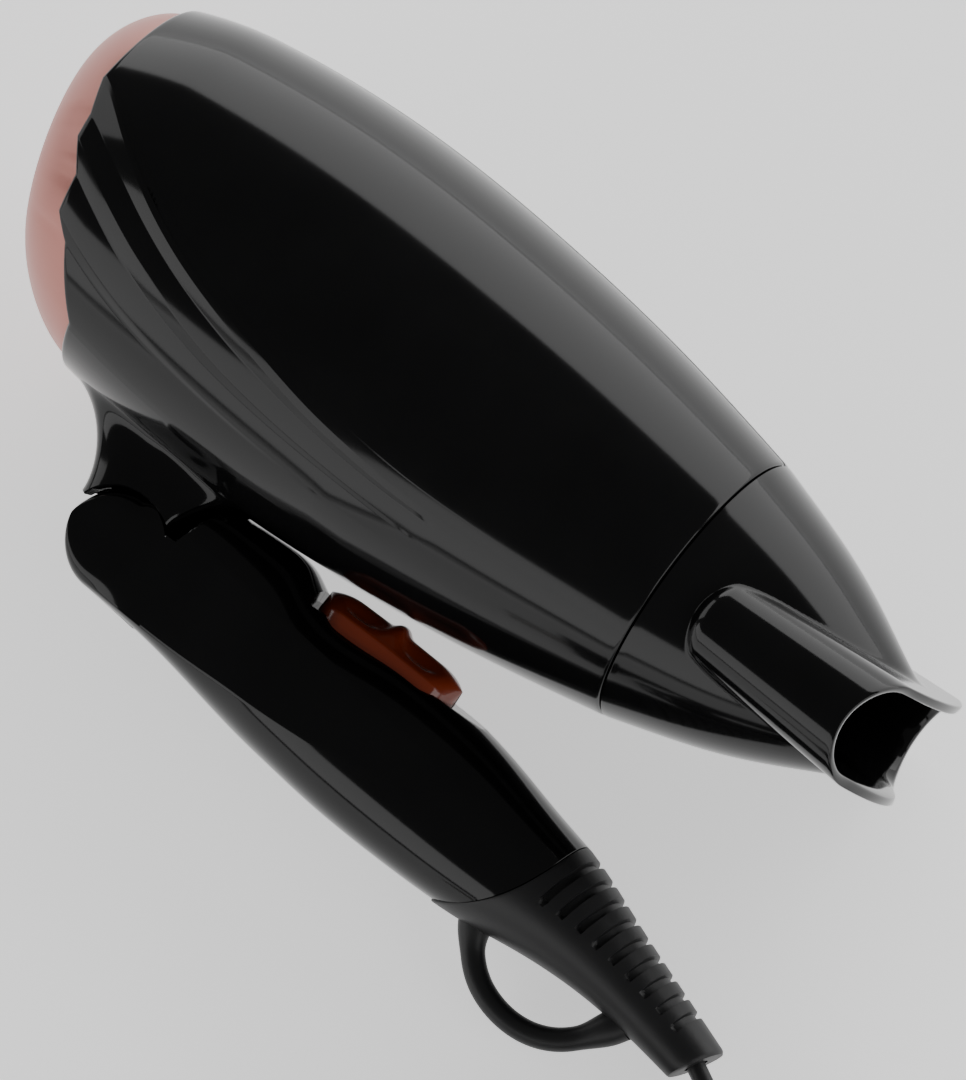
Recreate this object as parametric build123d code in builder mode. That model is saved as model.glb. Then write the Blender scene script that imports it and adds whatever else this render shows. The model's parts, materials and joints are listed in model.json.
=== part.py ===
"""Folding travel hair dryer with a concentrator nozzle, lying on its side with its lead put away.

Every piece of the dryer is drawn in the dryer's own frame, in millimetres: +X along the barrel
towards the air outlet, +Z away from the handle, y = 0 the parting plane of the shells, and the
origin on the barrel's axis at the nozzle seam. The handle is folded against the barrel. At the
end every piece is laid down on the table, which is z = 0, and the lead is drawn there.
"""

import os
from math import cos, pi, radians, sin, tan

from build123d import *

os.makedirs("parts", exist_ok=True)

# ---------------------------------------------------------------- driving dimensions
shell_gap = 0.15            # half the seam between the barrel and the nozzle
running_gap = 0.35          # room between pieces that move past each other

# barrel: (x, outer radius) and (x, inner radius)
barrel_outer = [(-158, 34.8), (-133, 39.4), (-97.6, 42.2), (-61.7, 40.5), (-31, 36.8), (0, 30.9)]
barrel_inner = [(-158, 30.0), (-133, 36.9), (-97.6, 40.0), (-61.7, 38.3), (-31, 34.6), (0, 28.7)]
rear_x = -143.6             # where the slanted rear edge crosses the barrel's axis
rear_slant = 16.7           # lean of the rear edge, degrees
rear_round = 1.2            # rounding of the shell's rear edge

# rear cover, measured from the slanted rear edge
cover_r = 35.0
cover_opening_r = 23.5
cover_wall = 2.0
cover_depth = 14.0

# fan, motor and heater
duct_r = 36.0
duct_bore_r = 34.0
fan_r = 33.2
hub_r = 12.0
fan_x = -122.0
fan_depth = 11.0
blade_count = 7
motor_r = 14.0
motor_rear_x = -113.0
motor_front_x = -84.0
shaft_r = 1.15
heater_rear_x = -74.0
heater_front_x = -13.0
board_half = 24.9
board_t = 0.8
winding_r = 26.0
wire_r = 0.9
sleeve_r = 29.8
sleeve_t = 0.6

# hinge between the neck and the handle
hinge_x = -100.8
hinge_z = -61.6
knuckle_r = 11.7
knuckle_half = 13.0
tongue_half = 5.4
tongue_r = 9.5
slot_half = 6.3
pin_r = 2.5
pin_half = 11.6

# handle: (x, centre z, half height, half width) of its oval sections
handle_sections = [
    (-100.8, -61.6, 11.7, 13.0),
    (-88.0, -60.4, 13.9, 14.2),
    (-75.0, -59.8, 17.0, 15.6),
    (-58.0, -62.7, 16.9, 16.0),
    (-40.0, -63.7, 17.5, 15.6),
    (-22.0, -64.3, 17.5, 14.8),
    (-8.0, -65.2, 16.4, 14.0),
    (14.0, -67.2, 12.7, 13.0),
]
handle_wall = 2.4

# screws: depth of the tip on one side of the parting plane, of the head on the other
screw_r = 1.3
screw_head_r = 2.5
screw_tip = 9.0
screw_head = 10.4
neck_screw_at = [(-109.5, -50), (-93.2, -46.5)]
handle_screw_at = [(-75, -64), (-20, -60)]

# slide switch
knob_rear_x = -60.7
knob_length = 33.9
knob_half = 8.2
knob_top_z = -42.0
seat_z = -47.6
switch_travel = 7.0
stem_x = -44.0

# moulded end of the handle: seam arc, taper and hanging loop
seam_r = 32.0
seam_centre = (-19.6, -52.0)
sleeve_sections = [(-12.0, -65.5, 16.1, 14.2), (14.0, -67.2, 12.7, 13.0), (30.0, -69.6, 9.2, 10.4),
                   (45.0, -72.9, 7.2, 8.0), (60.0, -76.7, 5.9, 6.2)]
sleeve_end = (56.3, -76.2)
sleeve_end_angle = -27.5    # direction in which the lead leaves, degrees from +X
loop_tube_r = 2.65
rib_count = 9
rib_pitch = 4.25
rib_width = 1.9

# nozzle: (x, radius) of its cone, then (x, half width, half height) of its flat spout
nozzle_cone = [(0, 30.9), (10.3, 27.8), (20.6, 24.4), (30.8, 20.1), (41, 15.0), (48, 11.6)]
nozzle_wall = 2.0
spout = [(3.0, 29.4, 8.3), (30.0, 32.2, 10.4), (58.0, 35.2, 12.4)]
mouth_arc_r = 68.6
mouth_x = 56.5
collar_r = 28.2
collar_bore_r = 26.6

# lead, lying on the table z = 0 beside the dryer: its points after the exit, and its coil
lead_d = 5.6                # width of the flat twin lead
lead_points = [(118.2, -53.4, 5.5), (129.4, -59.0, 3.8), (140.5, -65.0, 3.65), (151.5, -73.8, 3.6)]
coil_centre = (122.0, -102.0)
coil_turns_wide = 4
coil_turns_high = 2
coil_turn_r = 40.8          # outermost turn
coil_base_z = 0.85
coil_width = coil_turns_wide * lead_d
coil_height = coil_turns_high * lead_d
coil_middle_r = coil_turn_r - (coil_turns_wide - 1) * lead_d / 2
tie_angle = 185.0
tie_width = 9.0
tie_t = 0.8
tail_points = [(136.0, -140.3, 9.2), (122.0, -142.5, 9.3), (108.8, -142.4, 11.2), (96.3, -142.4, 13.0)]

# two-pin plug, flat on the table with its pins along -X
plug_entry = (96.3, -142.4, 13.0)
plug_neck_r = 4.2
plug_width = 35.0
plug_height = 26.0
plug_length = 46.0          # from the lead's entry to the face with the pins
plug_pin_r = 2.4
plug_root_r = 2.0           # pins inside the plug
plug_root_depth = 12.0
plug_pin_length = 19.0
plug_pin_pitch = 19.0
plug_well_r = 3.8           # shallow well round each pin's foot
plug_well_depth = 0.8

# resting attitude
rest_roll = 20.1            # the handle side dips, degrees about the barrel's axis
rest_pitch = 3.2            # the nozzle dips, degrees

pieces = []


def finish(builder, label):
    """Name a finished piece and keep it until the whole dryer is laid down."""
    builder.part.label = label
    pieces.append(builder.part)


def rotated(radius, height, degrees_round):
    return (radius * cos(radians(degrees_round)), radius * sin(radians(degrees_round)), height)


# ---------------------------------------------------------------- barrel
rear_n = (-cos(radians(rear_slant)), 0, -sin(radians(rear_slant)))
rear_up = (-sin(radians(rear_slant)), 0, cos(radians(rear_slant)))
rear_face = Plane(origin=(rear_x, 0, 0), x_dir=(0, 1, 0), z_dir=rear_n)
rear_section = Plane(origin=(rear_x, 0, 0), x_dir=rear_up, z_dir=(0, -1, 0))
rear_axis = Axis((rear_x, 0, 0), rear_n)

with BuildPart() as barrel_hollow:
    with BuildSketch(Plane.XY):
        with BuildLine():
            bore_curve = Spline(*barrel_inner)
            Polyline(bore_curve @ 1, (4, 28.7), (4, 0), (-158, 0), bore_curve @ 0)
        make_face()
    revolve(axis=Axis.X)

with BuildPart() as barrel:
    with BuildSketch(Plane.XY):
        with BuildLine():
            skin_curve = Spline(*barrel_outer)
            Polyline(skin_curve @ 1, (0, 0), (-158, 0), skin_curve @ 0)
        make_face()
    revolve(axis=Axis.X)
    split(bisect_by=Plane((-shell_gap, 0, 0), z_dir=(1, 0, 0)), keep=Keep.BOTTOM)
    split(bisect_by=rear_face, keep=Keep.BOTTOM)
    fillet(barrel.edges().group_by(Axis.X)[0], rear_round)
    # neck: a fairing under the barrel that ends in a hollow shoulder round the knuckle
    with BuildSketch(Plane.XZ) as neck_side:
        with BuildLine():
            Spline((-129, -34), (-119.2, -41.4), (-113.4, -57), tangents=((1, -0.3), (0.05, -1)))
            Line((-113.4, -57), (-108.5, -60))
            Line((-108.5, -60), (-93, -60))
            Line((-93, -60), (-89.8, -53.6))
            Line((-89.8, -53.6), (-84.8, -38))
            Line((-84.8, -38), (-86, -30))
            Line((-86, -30), (-129, -30))
            Line((-129, -30), (-129, -34))
        make_face()
        with Locations((hinge_x, hinge_z)):
            Circle(knuckle_r + running_gap, mode=Mode.SUBTRACT)
    extrude(amount=knuckle_half, both=True)
    # tongue with the pin's bore
    with BuildSketch(Plane.XZ):
        with Locations((hinge_x, hinge_z)):
            Circle(tongue_r)
        with Locations((hinge_x, hinge_z + 10)):
            Rectangle(14.4, 16)
    extrude(amount=tongue_half, both=True)
    with BuildSketch(Plane.XZ):
        with Locations((hinge_x, hinge_z)):
            Circle(pin_r + 0.06)
    extrude(amount=tongue_half + 1, both=True, mode=Mode.SUBTRACT)
    # wire channel from the barrel into the tongue
    with Locations((-101, 0, -43)):
        Box(8, 6, 18, mode=Mode.SUBTRACT)
    # screw bores through the neck
    with BuildSketch(Plane.XZ.offset(screw_tip)):
        with Locations(*neck_screw_at):
            Circle(screw_r + 0.1)
    extrude(amount=-40, mode=Mode.SUBTRACT)
    with BuildSketch(Plane.XZ.offset(-screw_head)):
        with Locations(*neck_screw_at):
            Circle(screw_head_r + 0.2)
    extrude(amount=-10, mode=Mode.SUBTRACT)
    add(barrel_hollow.part, mode=Mode.SUBTRACT)

with BuildPart() as barrel_shell_right:
    add(barrel.part)
    split(bisect_by=Plane.XZ, keep=Keep.TOP)
finish(barrel_shell_right, "barrel_shell_right")

with BuildPart() as barrel_shell_left:
    add(barrel.part)
    split(bisect_by=Plane.XZ, keep=Keep.BOTTOM)
finish(barrel_shell_left, "barrel_shell_left")

with BuildPart() as neck_screws:
    with BuildSketch(Plane.XZ.offset(screw_tip - 0.5)):
        with Locations(*neck_screw_at):
            Circle(screw_r)
    extrude(amount=-screw_tip - screw_head)
    with BuildSketch(Plane.XZ.offset(-screw_head - 0.05)):
        with Locations(*neck_screw_at):
            Circle(screw_head_r)
    extrude(amount=-1.5)
finish(neck_screws, "neck_screws")

# ---------------------------------------------------------------- rear cover and intake
with BuildPart() as rear_cover:
    with BuildSketch(rear_section):
        with BuildLine():
            outer = Spline((cover_r, 0.1), (33.2, 7.5), (cover_opening_r, cover_depth),
                           tangents=((0.05, 1), (-1, 0.35)))
            rim = Line(outer @ 1, (cover_opening_r, cover_depth - cover_wall))
            inner = Spline(rim @ 1, (31.2, 7.5), (32.6, 2.0), tangents=((1, -0.35), (0.05, -1)))
            Polyline(inner @ 1, (29.3, 2.0), (29.3, -5.0), (30.6, -5.0), (30.6, 0.1), outer @ 0)
        make_face()
    revolve(axis=rear_axis)
finish(rear_cover, "rear_cover")

with BuildPart() as rear_grille:
    with BuildSketch(rear_face.offset(cover_depth - 3.2)):
        for ring_r in (22.4, 18.6, 14.8, 11.0, 7.2):
            Circle(ring_r + 0.9)
            Circle(ring_r - 0.9, mode=Mode.SUBTRACT)
        Circle(4.2)
    extrude(amount=2.4)
    with BuildSketch(rear_face.offset(cover_depth - 3.2)):
        with PolarLocations(0, 3):
            Rectangle(44.6, 1.4)
    extrude(amount=1.2)
finish(rear_grille, "rear_grille")

with BuildPart() as dust_screen:
    with BuildSketch(rear_face.offset(cover_depth - 4.2)):
        Circle(23.0)
    extrude(amount=0.6)
finish(dust_screen, "dust_screen")

# ---------------------------------------------------------------- fan and motor
fan_plane = Plane(origin=(fan_x, 0, 0), x_dir=(0, 1, 0), z_dir=(1, 0, 0))
motor_plane = Plane(origin=(motor_rear_x, 0, 0), x_dir=(0, 1, 0), z_dir=(1, 0, 0))

with BuildPart() as fan_duct:
    with BuildSketch(fan_plane.offset(-8)):
        Circle(duct_r)
        Circle(duct_bore_r, mode=Mode.SUBTRACT)
    extrude(amount=26)
    with BuildSketch(motor_plane.offset(-1)):
        Circle(motor_r + 1.5)
        Circle(motor_r + 0.1, mode=Mode.SUBTRACT)
    extrude(amount=20)
    with BuildSketch(motor_plane):
        with PolarLocations(24.8, 9):
            Rectangle(19.4, 1.4)
    extrude(amount=9)
finish(fan_duct, "fan_duct")

with BuildPart() as fan:
    with BuildSketch(fan_plane.offset(-fan_depth / 2)):
        Circle(hub_r)
    extrude(amount=fan_depth + 1)
    with BuildSketch(fan_plane.offset(-fan_depth / 2 + 1.5)):
        Circle(hub_r - 1.5)
    extrude(amount=fan_depth, mode=Mode.SUBTRACT)
    with BuildSketch(fan_plane.offset(-fan_depth / 2)):
        Circle(3.2)
    extrude(amount=fan_depth - 1)
    with BuildSketch(fan_plane.offset(-fan_depth / 2)):
        Circle(shaft_r)
    extrude(amount=fan_depth + 2, mode=Mode.SUBTRACT)
    # twisted blades: flat ovals set at 35 degrees across the hub's rim
    for blade in range(blade_count):
        turn = 360 * blade / blade_count
        radial = rotated(1, 0, turn)
        out = Vector(0, radial[0], radial[1])
        along = Vector(1, 0, 0).rotate(Axis((0, 0, 0), tuple(out)), 52)
        foot = Vector(fan_x, 0, 0) + out * (hub_r - 1)
        tip = Vector(fan_x, 0, 0) + out * fan_r
        with BuildSketch(Plane(origin=foot, x_dir=along, z_dir=out)):
            Ellipse(6.2, 0.8)
        with BuildSketch(Plane(origin=tip, x_dir=along, z_dir=out)):
            Ellipse(7.0, 0.6)
        loft()
finish(fan, "fan")

with BuildPart() as motor_shaft:
    with BuildSketch(fan_plane.offset(-fan_depth / 2 - 0.5)):
        Circle(shaft_r)
    extrude(amount=20)
finish(motor_shaft, "motor_shaft")

with BuildPart() as motor_can:
    with BuildSketch(motor_plane):
        Circle(motor_r)
    extrude(amount=motor_front_x - motor_rear_x)
    fillet(motor_can.faces().sort_by(Axis.X)[0].edges(), 1.5)
    with BuildSketch(motor_plane.offset(-0.5)):
        Circle(shaft_r + 0.06)
    extrude(amount=6.5, mode=Mode.SUBTRACT)
finish(motor_can, "motor_can")

with BuildPart() as motor_end_cap:
    with BuildSketch(Plane(origin=(motor_front_x + 0.05, 0, 0), x_dir=(0, 1, 0), z_dir=(1, 0, 0))):
        Circle(motor_r - 0.5)
    extrude(amount=3)
    with BuildSketch(Plane(origin=(motor_front_x + 3, 0, 0), x_dir=(0, 1, 0), z_dir=(1, 0, 0))):
        with Locations((0, 9), (0, -9)):
            Rectangle(3, 0.8)
    extrude(amount=1.4)
finish(motor_end_cap, "motor_end_cap")

board_x = motor_front_x + 4.5
with BuildPart() as rectifier_board:
    with BuildSketch(Plane(origin=(board_x, 0, 0), x_dir=(0, 1, 0), z_dir=(1, 0, 0))):
        Circle(12.5)
    extrude(amount=1.2)
    with BuildSketch(Plane(origin=(board_x + 1.2, 0, 0), x_dir=(0, 1, 0), z_dir=(1, 0, 0))):
        with GridLocations(9, 8, 2, 2):
            Rectangle(5.2, 2.6)
    extrude(amount=2.5)
finish(rectifier_board, "rectifier_board")

# ---------------------------------------------------------------- heater
heater_mid_x = (heater_rear_x + heater_front_x) / 2
heater_length = heater_front_x - heater_rear_x


def heater_board(plane, notch_end):
    """A mica board with end tabs, slotted over half its length to cross its twin."""
    with BuildPart() as board:
        with BuildSketch(plane):
            with Locations((heater_mid_x, 0)):
                Rectangle(heater_length, 2 * board_half)
            with Locations((heater_rear_x + 2, 0), (heater_front_x - 2, 0)):
                Rectangle(4, 2 * (sleeve_r - sleeve_t - 0.2))
            with Locations((heater_mid_x + notch_end * heater_length / 4, 0)):
                Rectangle(heater_length / 2 + 0.4, board_t + 0.2, mode=Mode.SUBTRACT)
        extrude(amount=board_t / 2, both=True)
    return board


finish(heater_board(Plane.XZ, -1), "heater_board_upright")
finish(heater_board(Plane.XY, 1), "heater_board_level")

with BuildPart() as heater_windings:
    for ring in range(8):
        ring_x = heater_rear_x + 8 + ring * (heater_length - 16) / 7
        with BuildSketch(Plane.XZ):
            with Locations((ring_x, winding_r)):
                Circle(wire_r)
        revolve(axis=Axis.X)
finish(heater_windings, "heater_windings")

with BuildPart() as mica_sleeve:
    with BuildSketch(Plane(origin=(heater_rear_x - 2, 0, 0), x_dir=(0, 1, 0), z_dir=(1, 0, 0))):
        Circle(sleeve_r)
        Circle(sleeve_r - sleeve_t, mode=Mode.SUBTRACT)
    extrude(amount=heater_length + 4)
finish(mica_sleeve, "mica_sleeve")

with BuildPart() as thermostat:
    with Locations((-55, -3.0, 13)):
        Box(11, 5, 8)
finish(thermostat, "thermostat")

with BuildPart() as thermal_fuse:
    with BuildSketch(Plane(origin=(-38, -2.3, -13), x_dir=(0, 1, 0), z_dir=(1, 0, 0))):
        Circle(1.7)
    extrude(amount=11)
finish(thermal_fuse, "thermal_fuse")

with BuildPart() as heater_leads:
    for lead_y in (-1.6, 1.6):
        with BuildSketch(Plane.XY.offset(-36)):
            with Locations((-101, lead_y)):
                Circle(1.1)
        extrude(amount=-13)
finish(heater_leads, "heater_leads")

with BuildPart() as outlet_ring:
    with BuildSketch(Plane(origin=(-10.4, 0, 0), x_dir=(0, 1, 0), z_dir=(1, 0, 0))):
        Circle(29.7)
        Circle(26.2, mode=Mode.SUBTRACT)
    extrude(amount=3.9)
finish(outlet_ring, "outlet_ring")

with BuildPart() as outlet_grille:
    with BuildSketch(Plane(origin=(-9.6, 0, 0), x_dir=(0, 1, 0), z_dir=(1, 0, 0))):
        for ring_r in (25.0, 19.5, 14.0, 8.5):
            Circle(ring_r + 0.6)
            Circle(ring_r - 0.6, mode=Mode.SUBTRACT)
        with PolarLocations(0, 4):
            Rectangle(50.8, 1.4)
        Circle(4)
    extrude(amount=1.6)
finish(outlet_grille, "outlet_grille")

# ---------------------------------------------------------------- nozzle
with BuildPart() as nozzle:
    with BuildSketch(Plane.XY):
        with BuildLine():
            cone = Spline(*[(max(x, shell_gap), r) for x, r in nozzle_cone])
            Polyline(cone @ 1, (48, 0), (shell_gap, 0), cone @ 0)
        make_face()
    revolve(axis=Axis.X)
    for x, half_width, half_height in spout:
        with BuildSketch(Plane(origin=(x, 0, 0), x_dir=(0, 1, 0), z_dir=(1, 0, 0))):
            RectangleRounded(2 * half_width, 2 * half_height, half_height - 0.1)
    loft()
    # the mouth is cut on an arc, longest in the middle
    with BuildSketch(Plane.XY):
        with Locations((mouth_x + 20, 0)):
            Rectangle(60, 90)
        with Locations((mouth_x - mouth_arc_r, 0)):
            Circle(mouth_arc_r, mode=Mode.SUBTRACT)
    extrude(amount=20, both=True, mode=Mode.SUBTRACT)
    # air passage: the cone and the spout, one wall smaller
    with BuildSketch(Plane.XZ):
        with BuildLine():
            passage = Spline(*[(x - 0.6, r - nozzle_wall) for x, r in nozzle_cone])
            Polyline(passage @ 1, (nozzle_cone[-1][0] - 0.6, 0), (-0.6, 0), passage @ 0)
        make_face()
    revolve(axis=Axis.X, mode=Mode.SUBTRACT)
    for x, half_width, half_height in [(6.0, 28.0, 6.5)] + [
        (x, w - nozzle_wall, h - nozzle_wall) for x, w, h in spout[1:]
    ]:
        with BuildSketch(Plane(origin=(x, 0, 0), x_dir=(0, 1, 0), z_dir=(1, 0, 0))):
            RectangleRounded(2 * half_width, 2 * half_height, half_height - 0.1)
    loft(mode=Mode.SUBTRACT)
    # collar that turns inside the barrel's mouth
    with BuildSketch(Plane(origin=(-5.5, 0, 0), x_dir=(0, 1, 0), z_dir=(1, 0, 0))):
        Circle(collar_r)
        Circle(collar_bore_r, mode=Mode.SUBTRACT)
    extrude(amount=9)
finish(nozzle, "nozzle")

# ---------------------------------------------------------------- handle
hinge_at = (hinge_x, hinge_z)


def oval_loft(sections, inset=0):
    """Loft through oval sections, all drawn inwards by inset."""
    with BuildPart() as body:
        for x, z, half_height, half_width in sections:
            with BuildSketch(Plane(origin=(x, 0, z), x_dir=(0, 1, 0), z_dir=(1, 0, 0))):
                Ellipse(half_width - inset, half_height - inset)
        loft()
    return body.part


handle_body = oval_loft(handle_sections)
handle_room = oval_loft(handle_sections[1:-1], handle_wall)
sleeve_body = oval_loft(sleeve_sections)

with BuildPart() as handle:
    add(handle_body)
    # room for the neck, left open all the way that the handle swings
    with BuildSketch(Plane.XZ):
        Polygon((-89.4, -53.4), (-84.0, -36), (-84.0, -20), (-130, -20), (-130, -90), (hinge_x, -90),
                (hinge_x, hinge_z), (-93.5, -61.6), align=None)
        with Locations(hinge_at):
            Circle(knuckle_r, mode=Mode.SUBTRACT)
    extrude(amount=20, both=True, mode=Mode.SUBTRACT)
    with BuildSketch(Plane.XZ):
        with Locations(hinge_at):
            Circle(knuckle_r)
    extrude(amount=knuckle_half, both=True)
    add(handle_room, mode=Mode.SUBTRACT)
    # slot between the two ears
    with BuildSketch(Plane.XZ):
        with Locations(hinge_at):
            Circle(knuckle_r + 1.2)
    extrude(amount=slot_half, both=True, mode=Mode.SUBTRACT)
    with BuildSketch(Plane.XZ):
        with Locations(hinge_at):
            Circle(pin_r)
    extrude(amount=pin_half + 0.1, both=True, mode=Mode.SUBTRACT)
    # seat and slot of the slide switch
    with Locations((-40.2, 0, seat_z + 5)):
        Box(43.0, 2 * knob_half + 1.0, 10, mode=Mode.SUBTRACT)
    with Locations((stem_x + switch_travel / 2, 0, -50)):
        Box(6 + switch_travel + 1.0, 5.8, 8, mode=Mode.SUBTRACT)
    # bosses of the two handle screws and of the lead clamp
    with BuildSketch(Plane.XZ):
        with Locations(*handle_screw_at):
            Circle(3.2)
    extrude(amount=12.6, both=True)
    with BuildSketch(Plane.XY.offset(-79)):
        with Locations((-14.5, 5.2), (-14.5, -5.2)):
            Circle(2.4)
    extrude(amount=11.2)
    with BuildSketch(Plane.XZ.offset(screw_tip)):
        with Locations(*handle_screw_at):
            Circle(screw_r + 0.1)
    extrude(amount=-40, mode=Mode.SUBTRACT)
    with BuildSketch(Plane.XZ.offset(-screw_head)):
        with Locations(*handle_screw_at):
            Circle(screw_head_r + 0.2)
    extrude(amount=-10, mode=Mode.SUBTRACT)
    with BuildSketch(Plane.XY.offset(-77)):
        with Locations((-14.5, 5.2), (-14.5, -5.2)):
            Circle(1.2)
    extrude(amount=12, mode=Mode.SUBTRACT)
    # way of the lead, then the curved seam against the moulded end
    with BuildSketch(Plane(origin=(-12, 0, -69), x_dir=(0, 1, 0), z_dir=(1, 0, 0))):
        Circle(3.4)
    extrude(amount=40, mode=Mode.SUBTRACT)
    with BuildSketch(Plane.XZ):
        with Locations((20, -66)):
            Rectangle(70, 60)
        with Locations(seam_centre):
            Circle(seam_r, mode=Mode.SUBTRACT)
    extrude(amount=20, both=True, mode=Mode.SUBTRACT)

with BuildPart() as handle_shell_right:
    add(handle.part)
    split(bisect_by=Plane.XZ, keep=Keep.TOP)
finish(handle_shell_right, "handle_shell_right")

with BuildPart() as handle_shell_left:
    add(handle.part)
    split(bisect_by=Plane.XZ, keep=Keep.BOTTOM)
finish(handle_shell_left, "handle_shell_left")

with BuildPart() as hinge_pin:
    with BuildSketch(Plane.XZ):
        with Locations(hinge_at):
            Circle(pin_r)
    extrude(amount=pin_half, both=True)
finish(hinge_pin, "hinge_pin")

with BuildPart() as hinge_washers:
    for side in (1, -1):
        with BuildSketch(Plane.XZ.offset(side * (slot_half - 0.05))):
            with Locations(hinge_at):
                Circle(7.5)
                Circle(pin_r + 0.1, mode=Mode.SUBTRACT)
        extrude(amount=-side * 0.45)
finish(hinge_washers, "hinge_washers")

with BuildPart() as handle_screws:
    with BuildSketch(Plane.XZ.offset(screw_tip - 0.5)):
        with Locations(*handle_screw_at):
            Circle(screw_r)
    extrude(amount=-screw_tip - screw_head)
    with BuildSketch(Plane.XZ.offset(-screw_head - 0.05)):
        with Locations(*handle_screw_at):
            Circle(screw_head_r)
    extrude(amount=-1.5)
finish(handle_screws, "handle_screws")

# ---------------------------------------------------------------- slide switch and wiring
with BuildPart() as switch_knob:
    with BuildSketch(Plane.XY.offset(seat_z + 0.4)):
        with Locations((knob_rear_x + knob_length / 2, 0)):
            SlotOverall(knob_length, 2 * knob_half)
    extrude(amount=knob_top_z - seat_z - 1.4, taper=4)
    with BuildSketch(Plane.XY.offset(seat_z + 0.4)):
        with Locations((stem_x, 0)):
            RectangleRounded(5, 2 * knob_half - 3, 2)
    extrude(amount=knob_top_z - seat_z + 0.4)
    with Locations((stem_x, 0, -50)):
        Box(6, 5, 6)
finish(switch_knob, "switch_knob")

with BuildPart() as switch_slider:
    with Locations((stem_x, 0, -54.6)):
        Box(9, 4.6, 3.1)
finish(switch_slider, "switch_slider")

with BuildPart() as switch_housing:
    with Locations((-42, 0, -60.5)):
        Box(34, 15, 14)
    with Locations((-41, 0, -54.5)):
        Box(22, 5.6, 4, mode=Mode.SUBTRACT)
finish(switch_housing, "switch_housing")

with BuildPart() as switch_terminals:
    with BuildSketch(Plane.XY.offset(-67.5)):
        with Locations((-42, 0)):
            with GridLocations(9, 7, 3, 2):
                Rectangle(0.8, 4.2)
    extrude(amount=-6)
finish(switch_terminals, "switch_terminals")

with BuildPart() as noise_capacitor:
    with Locations((-76, 0, -53.5)):
        Box(12, 13, 8)
    fillet(noise_capacitor.edges().filter_by(Axis.Z), 1)
finish(noise_capacitor, "noise_capacitor")

with BuildPart() as supply_leads:
    for lead_y in (-1.4, 1.4):
        with BuildSketch(Plane(origin=(-20, lead_y, -69), x_dir=(0, 1, 0), z_dir=(1, 0, 0))):
            Circle(1.2)
        extrude(amount=20)
finish(supply_leads, "supply_leads")

with BuildPart() as cord_clamp:
    with Locations((-14.5, 0, -66.5)):
        Box(7, 15, 2.4)
    with Locations((-14.5, 5.2, -66.5), (-14.5, -5.2, -66.5)):
        Cylinder(1.3, 4, mode=Mode.SUBTRACT)
finish(cord_clamp, "cord_clamp")

with BuildPart() as clamp_screws:
    with BuildSketch(Plane.XY.offset(-76)):
        with Locations((-14.5, 5.2), (-14.5, -5.2)):
            Circle(1.1)
    extrude(amount=10.8)
    with BuildSketch(Plane.XY.offset(-65.2)):
        with Locations((-14.5, 5.2), (-14.5, -5.2)):
            Circle(2.2)
    extrude(amount=1.6)
finish(clamp_screws, "clamp_screws")

# ---------------------------------------------------------------- moulded end with the hanging loop
end_dir = (cos(radians(sleeve_end_angle)), 0, sin(radians(sleeve_end_angle)))
sleeve_end_plane = Plane(origin=(sleeve_end[0], 0, sleeve_end[1]), x_dir=(0, 1, 0), z_dir=end_dir)

with BuildPart() as cord_sleeve:
    add(sleeve_body)
    split(bisect_by=sleeve_end_plane, keep=Keep.BOTTOM)
    with BuildSketch(Plane.XZ):
        with Locations((-30, -60)):
            Rectangle(60, 60)
        with Locations(seam_centre):
            Circle(seam_r + 0.1)
    extrude(amount=20, both=True, mode=Mode.SUBTRACT)
    # slots across the side that faces the barrel make it flexible
    for rib in range(rib_count):
        slot_x = 17.5 + rib * rib_pitch
        slot_z = -55.9 - rib * rib_pitch * 0.36
        with Locations(Location((slot_x, 0, slot_z), (0, 14, 0))):
            Box(rib_width, 30, 5.0 - 0.25 * rib, mode=Mode.SUBTRACT)
    # loop to hang the dryer up by
    with BuildLine(Plane.XZ):
        ThreePointArc((3.4, -77.5), (21.7, -92.25), (39.4, -77.0))
    with BuildSketch(Plane(origin=(3.4, 0, -77.5), x_dir=(0, 1, 0), z_dir=(-0.15, 0, -1))):
        Circle(loop_tube_r)
    sweep()
finish(cord_sleeve, "cord_sleeve")

# ---------------------------------------------------------------- lay the dryer down on the table
turned = Location((0, 0, 0), (0, rest_pitch, 0)) * Location((0, 0, 0), (rest_roll - 90, 0, 0))
turned_box = Compound([turned * piece for piece in pieces]).bounding_box()
middle = turned_box.center()
lying = Location((-middle.X, -middle.Y, -turned_box.min.Z)) * turned
lead_exit = (lying * Pos(sleeve_end[0], 0, sleeve_end[1])).position
lead_heading = (turned * Pos(*end_dir)).position

for piece in pieces:
    label = piece.label
    laid = lying * piece
    laid.label = label
    export_step(laid, f"parts/{label}.step")
print("lead leaves at", lead_exit, "heading", lead_heading)


# ---------------------------------------------------------------- lead, put away beside the dryer
def largest_radii(points):
    """The radius of each corner's arc: 0.45 of its shorter run over the tangent of half the turn."""
    found = []
    for before, here, after in zip(points, points[1:], points[2:]):
        run_in = Vector(*here) - Vector(*before)
        run_out = Vector(*after) - Vector(*here)
        half_turn = radians(run_in.get_angle(run_out)) / 2
        found.append(0.45 * min(run_in.length, run_out.length) / tan(half_turn))
    return found


def lead_tube(points):
    """A round tube of the lead's width along straight runs joined by tangent arcs."""
    radii = largest_radii(points)
    with BuildPart() as tube:
        with BuildLine() as path:
            FilletPolyline(*points, radius=radii)
        with BuildSketch(Plane(origin=path.line @ 0, z_dir=path.line % 0)):
            Circle(lead_d / 2)
        sweep()
    straightened = sum(edge.length for edge in path.edges()) * pi * (lead_d / 2) ** 2
    print("lead radii", [round(r) for r in radii], "volume ratio", tube.part.volume / straightened)
    return tube


def write(builder, label):
    builder.part.label = label
    export_step(builder.part, f"parts/{label}.step")


write(lead_tube([tuple(lead_exit)] + lead_points), "cord_run")
write(lead_tube(tail_points), "cord_tail")

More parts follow.
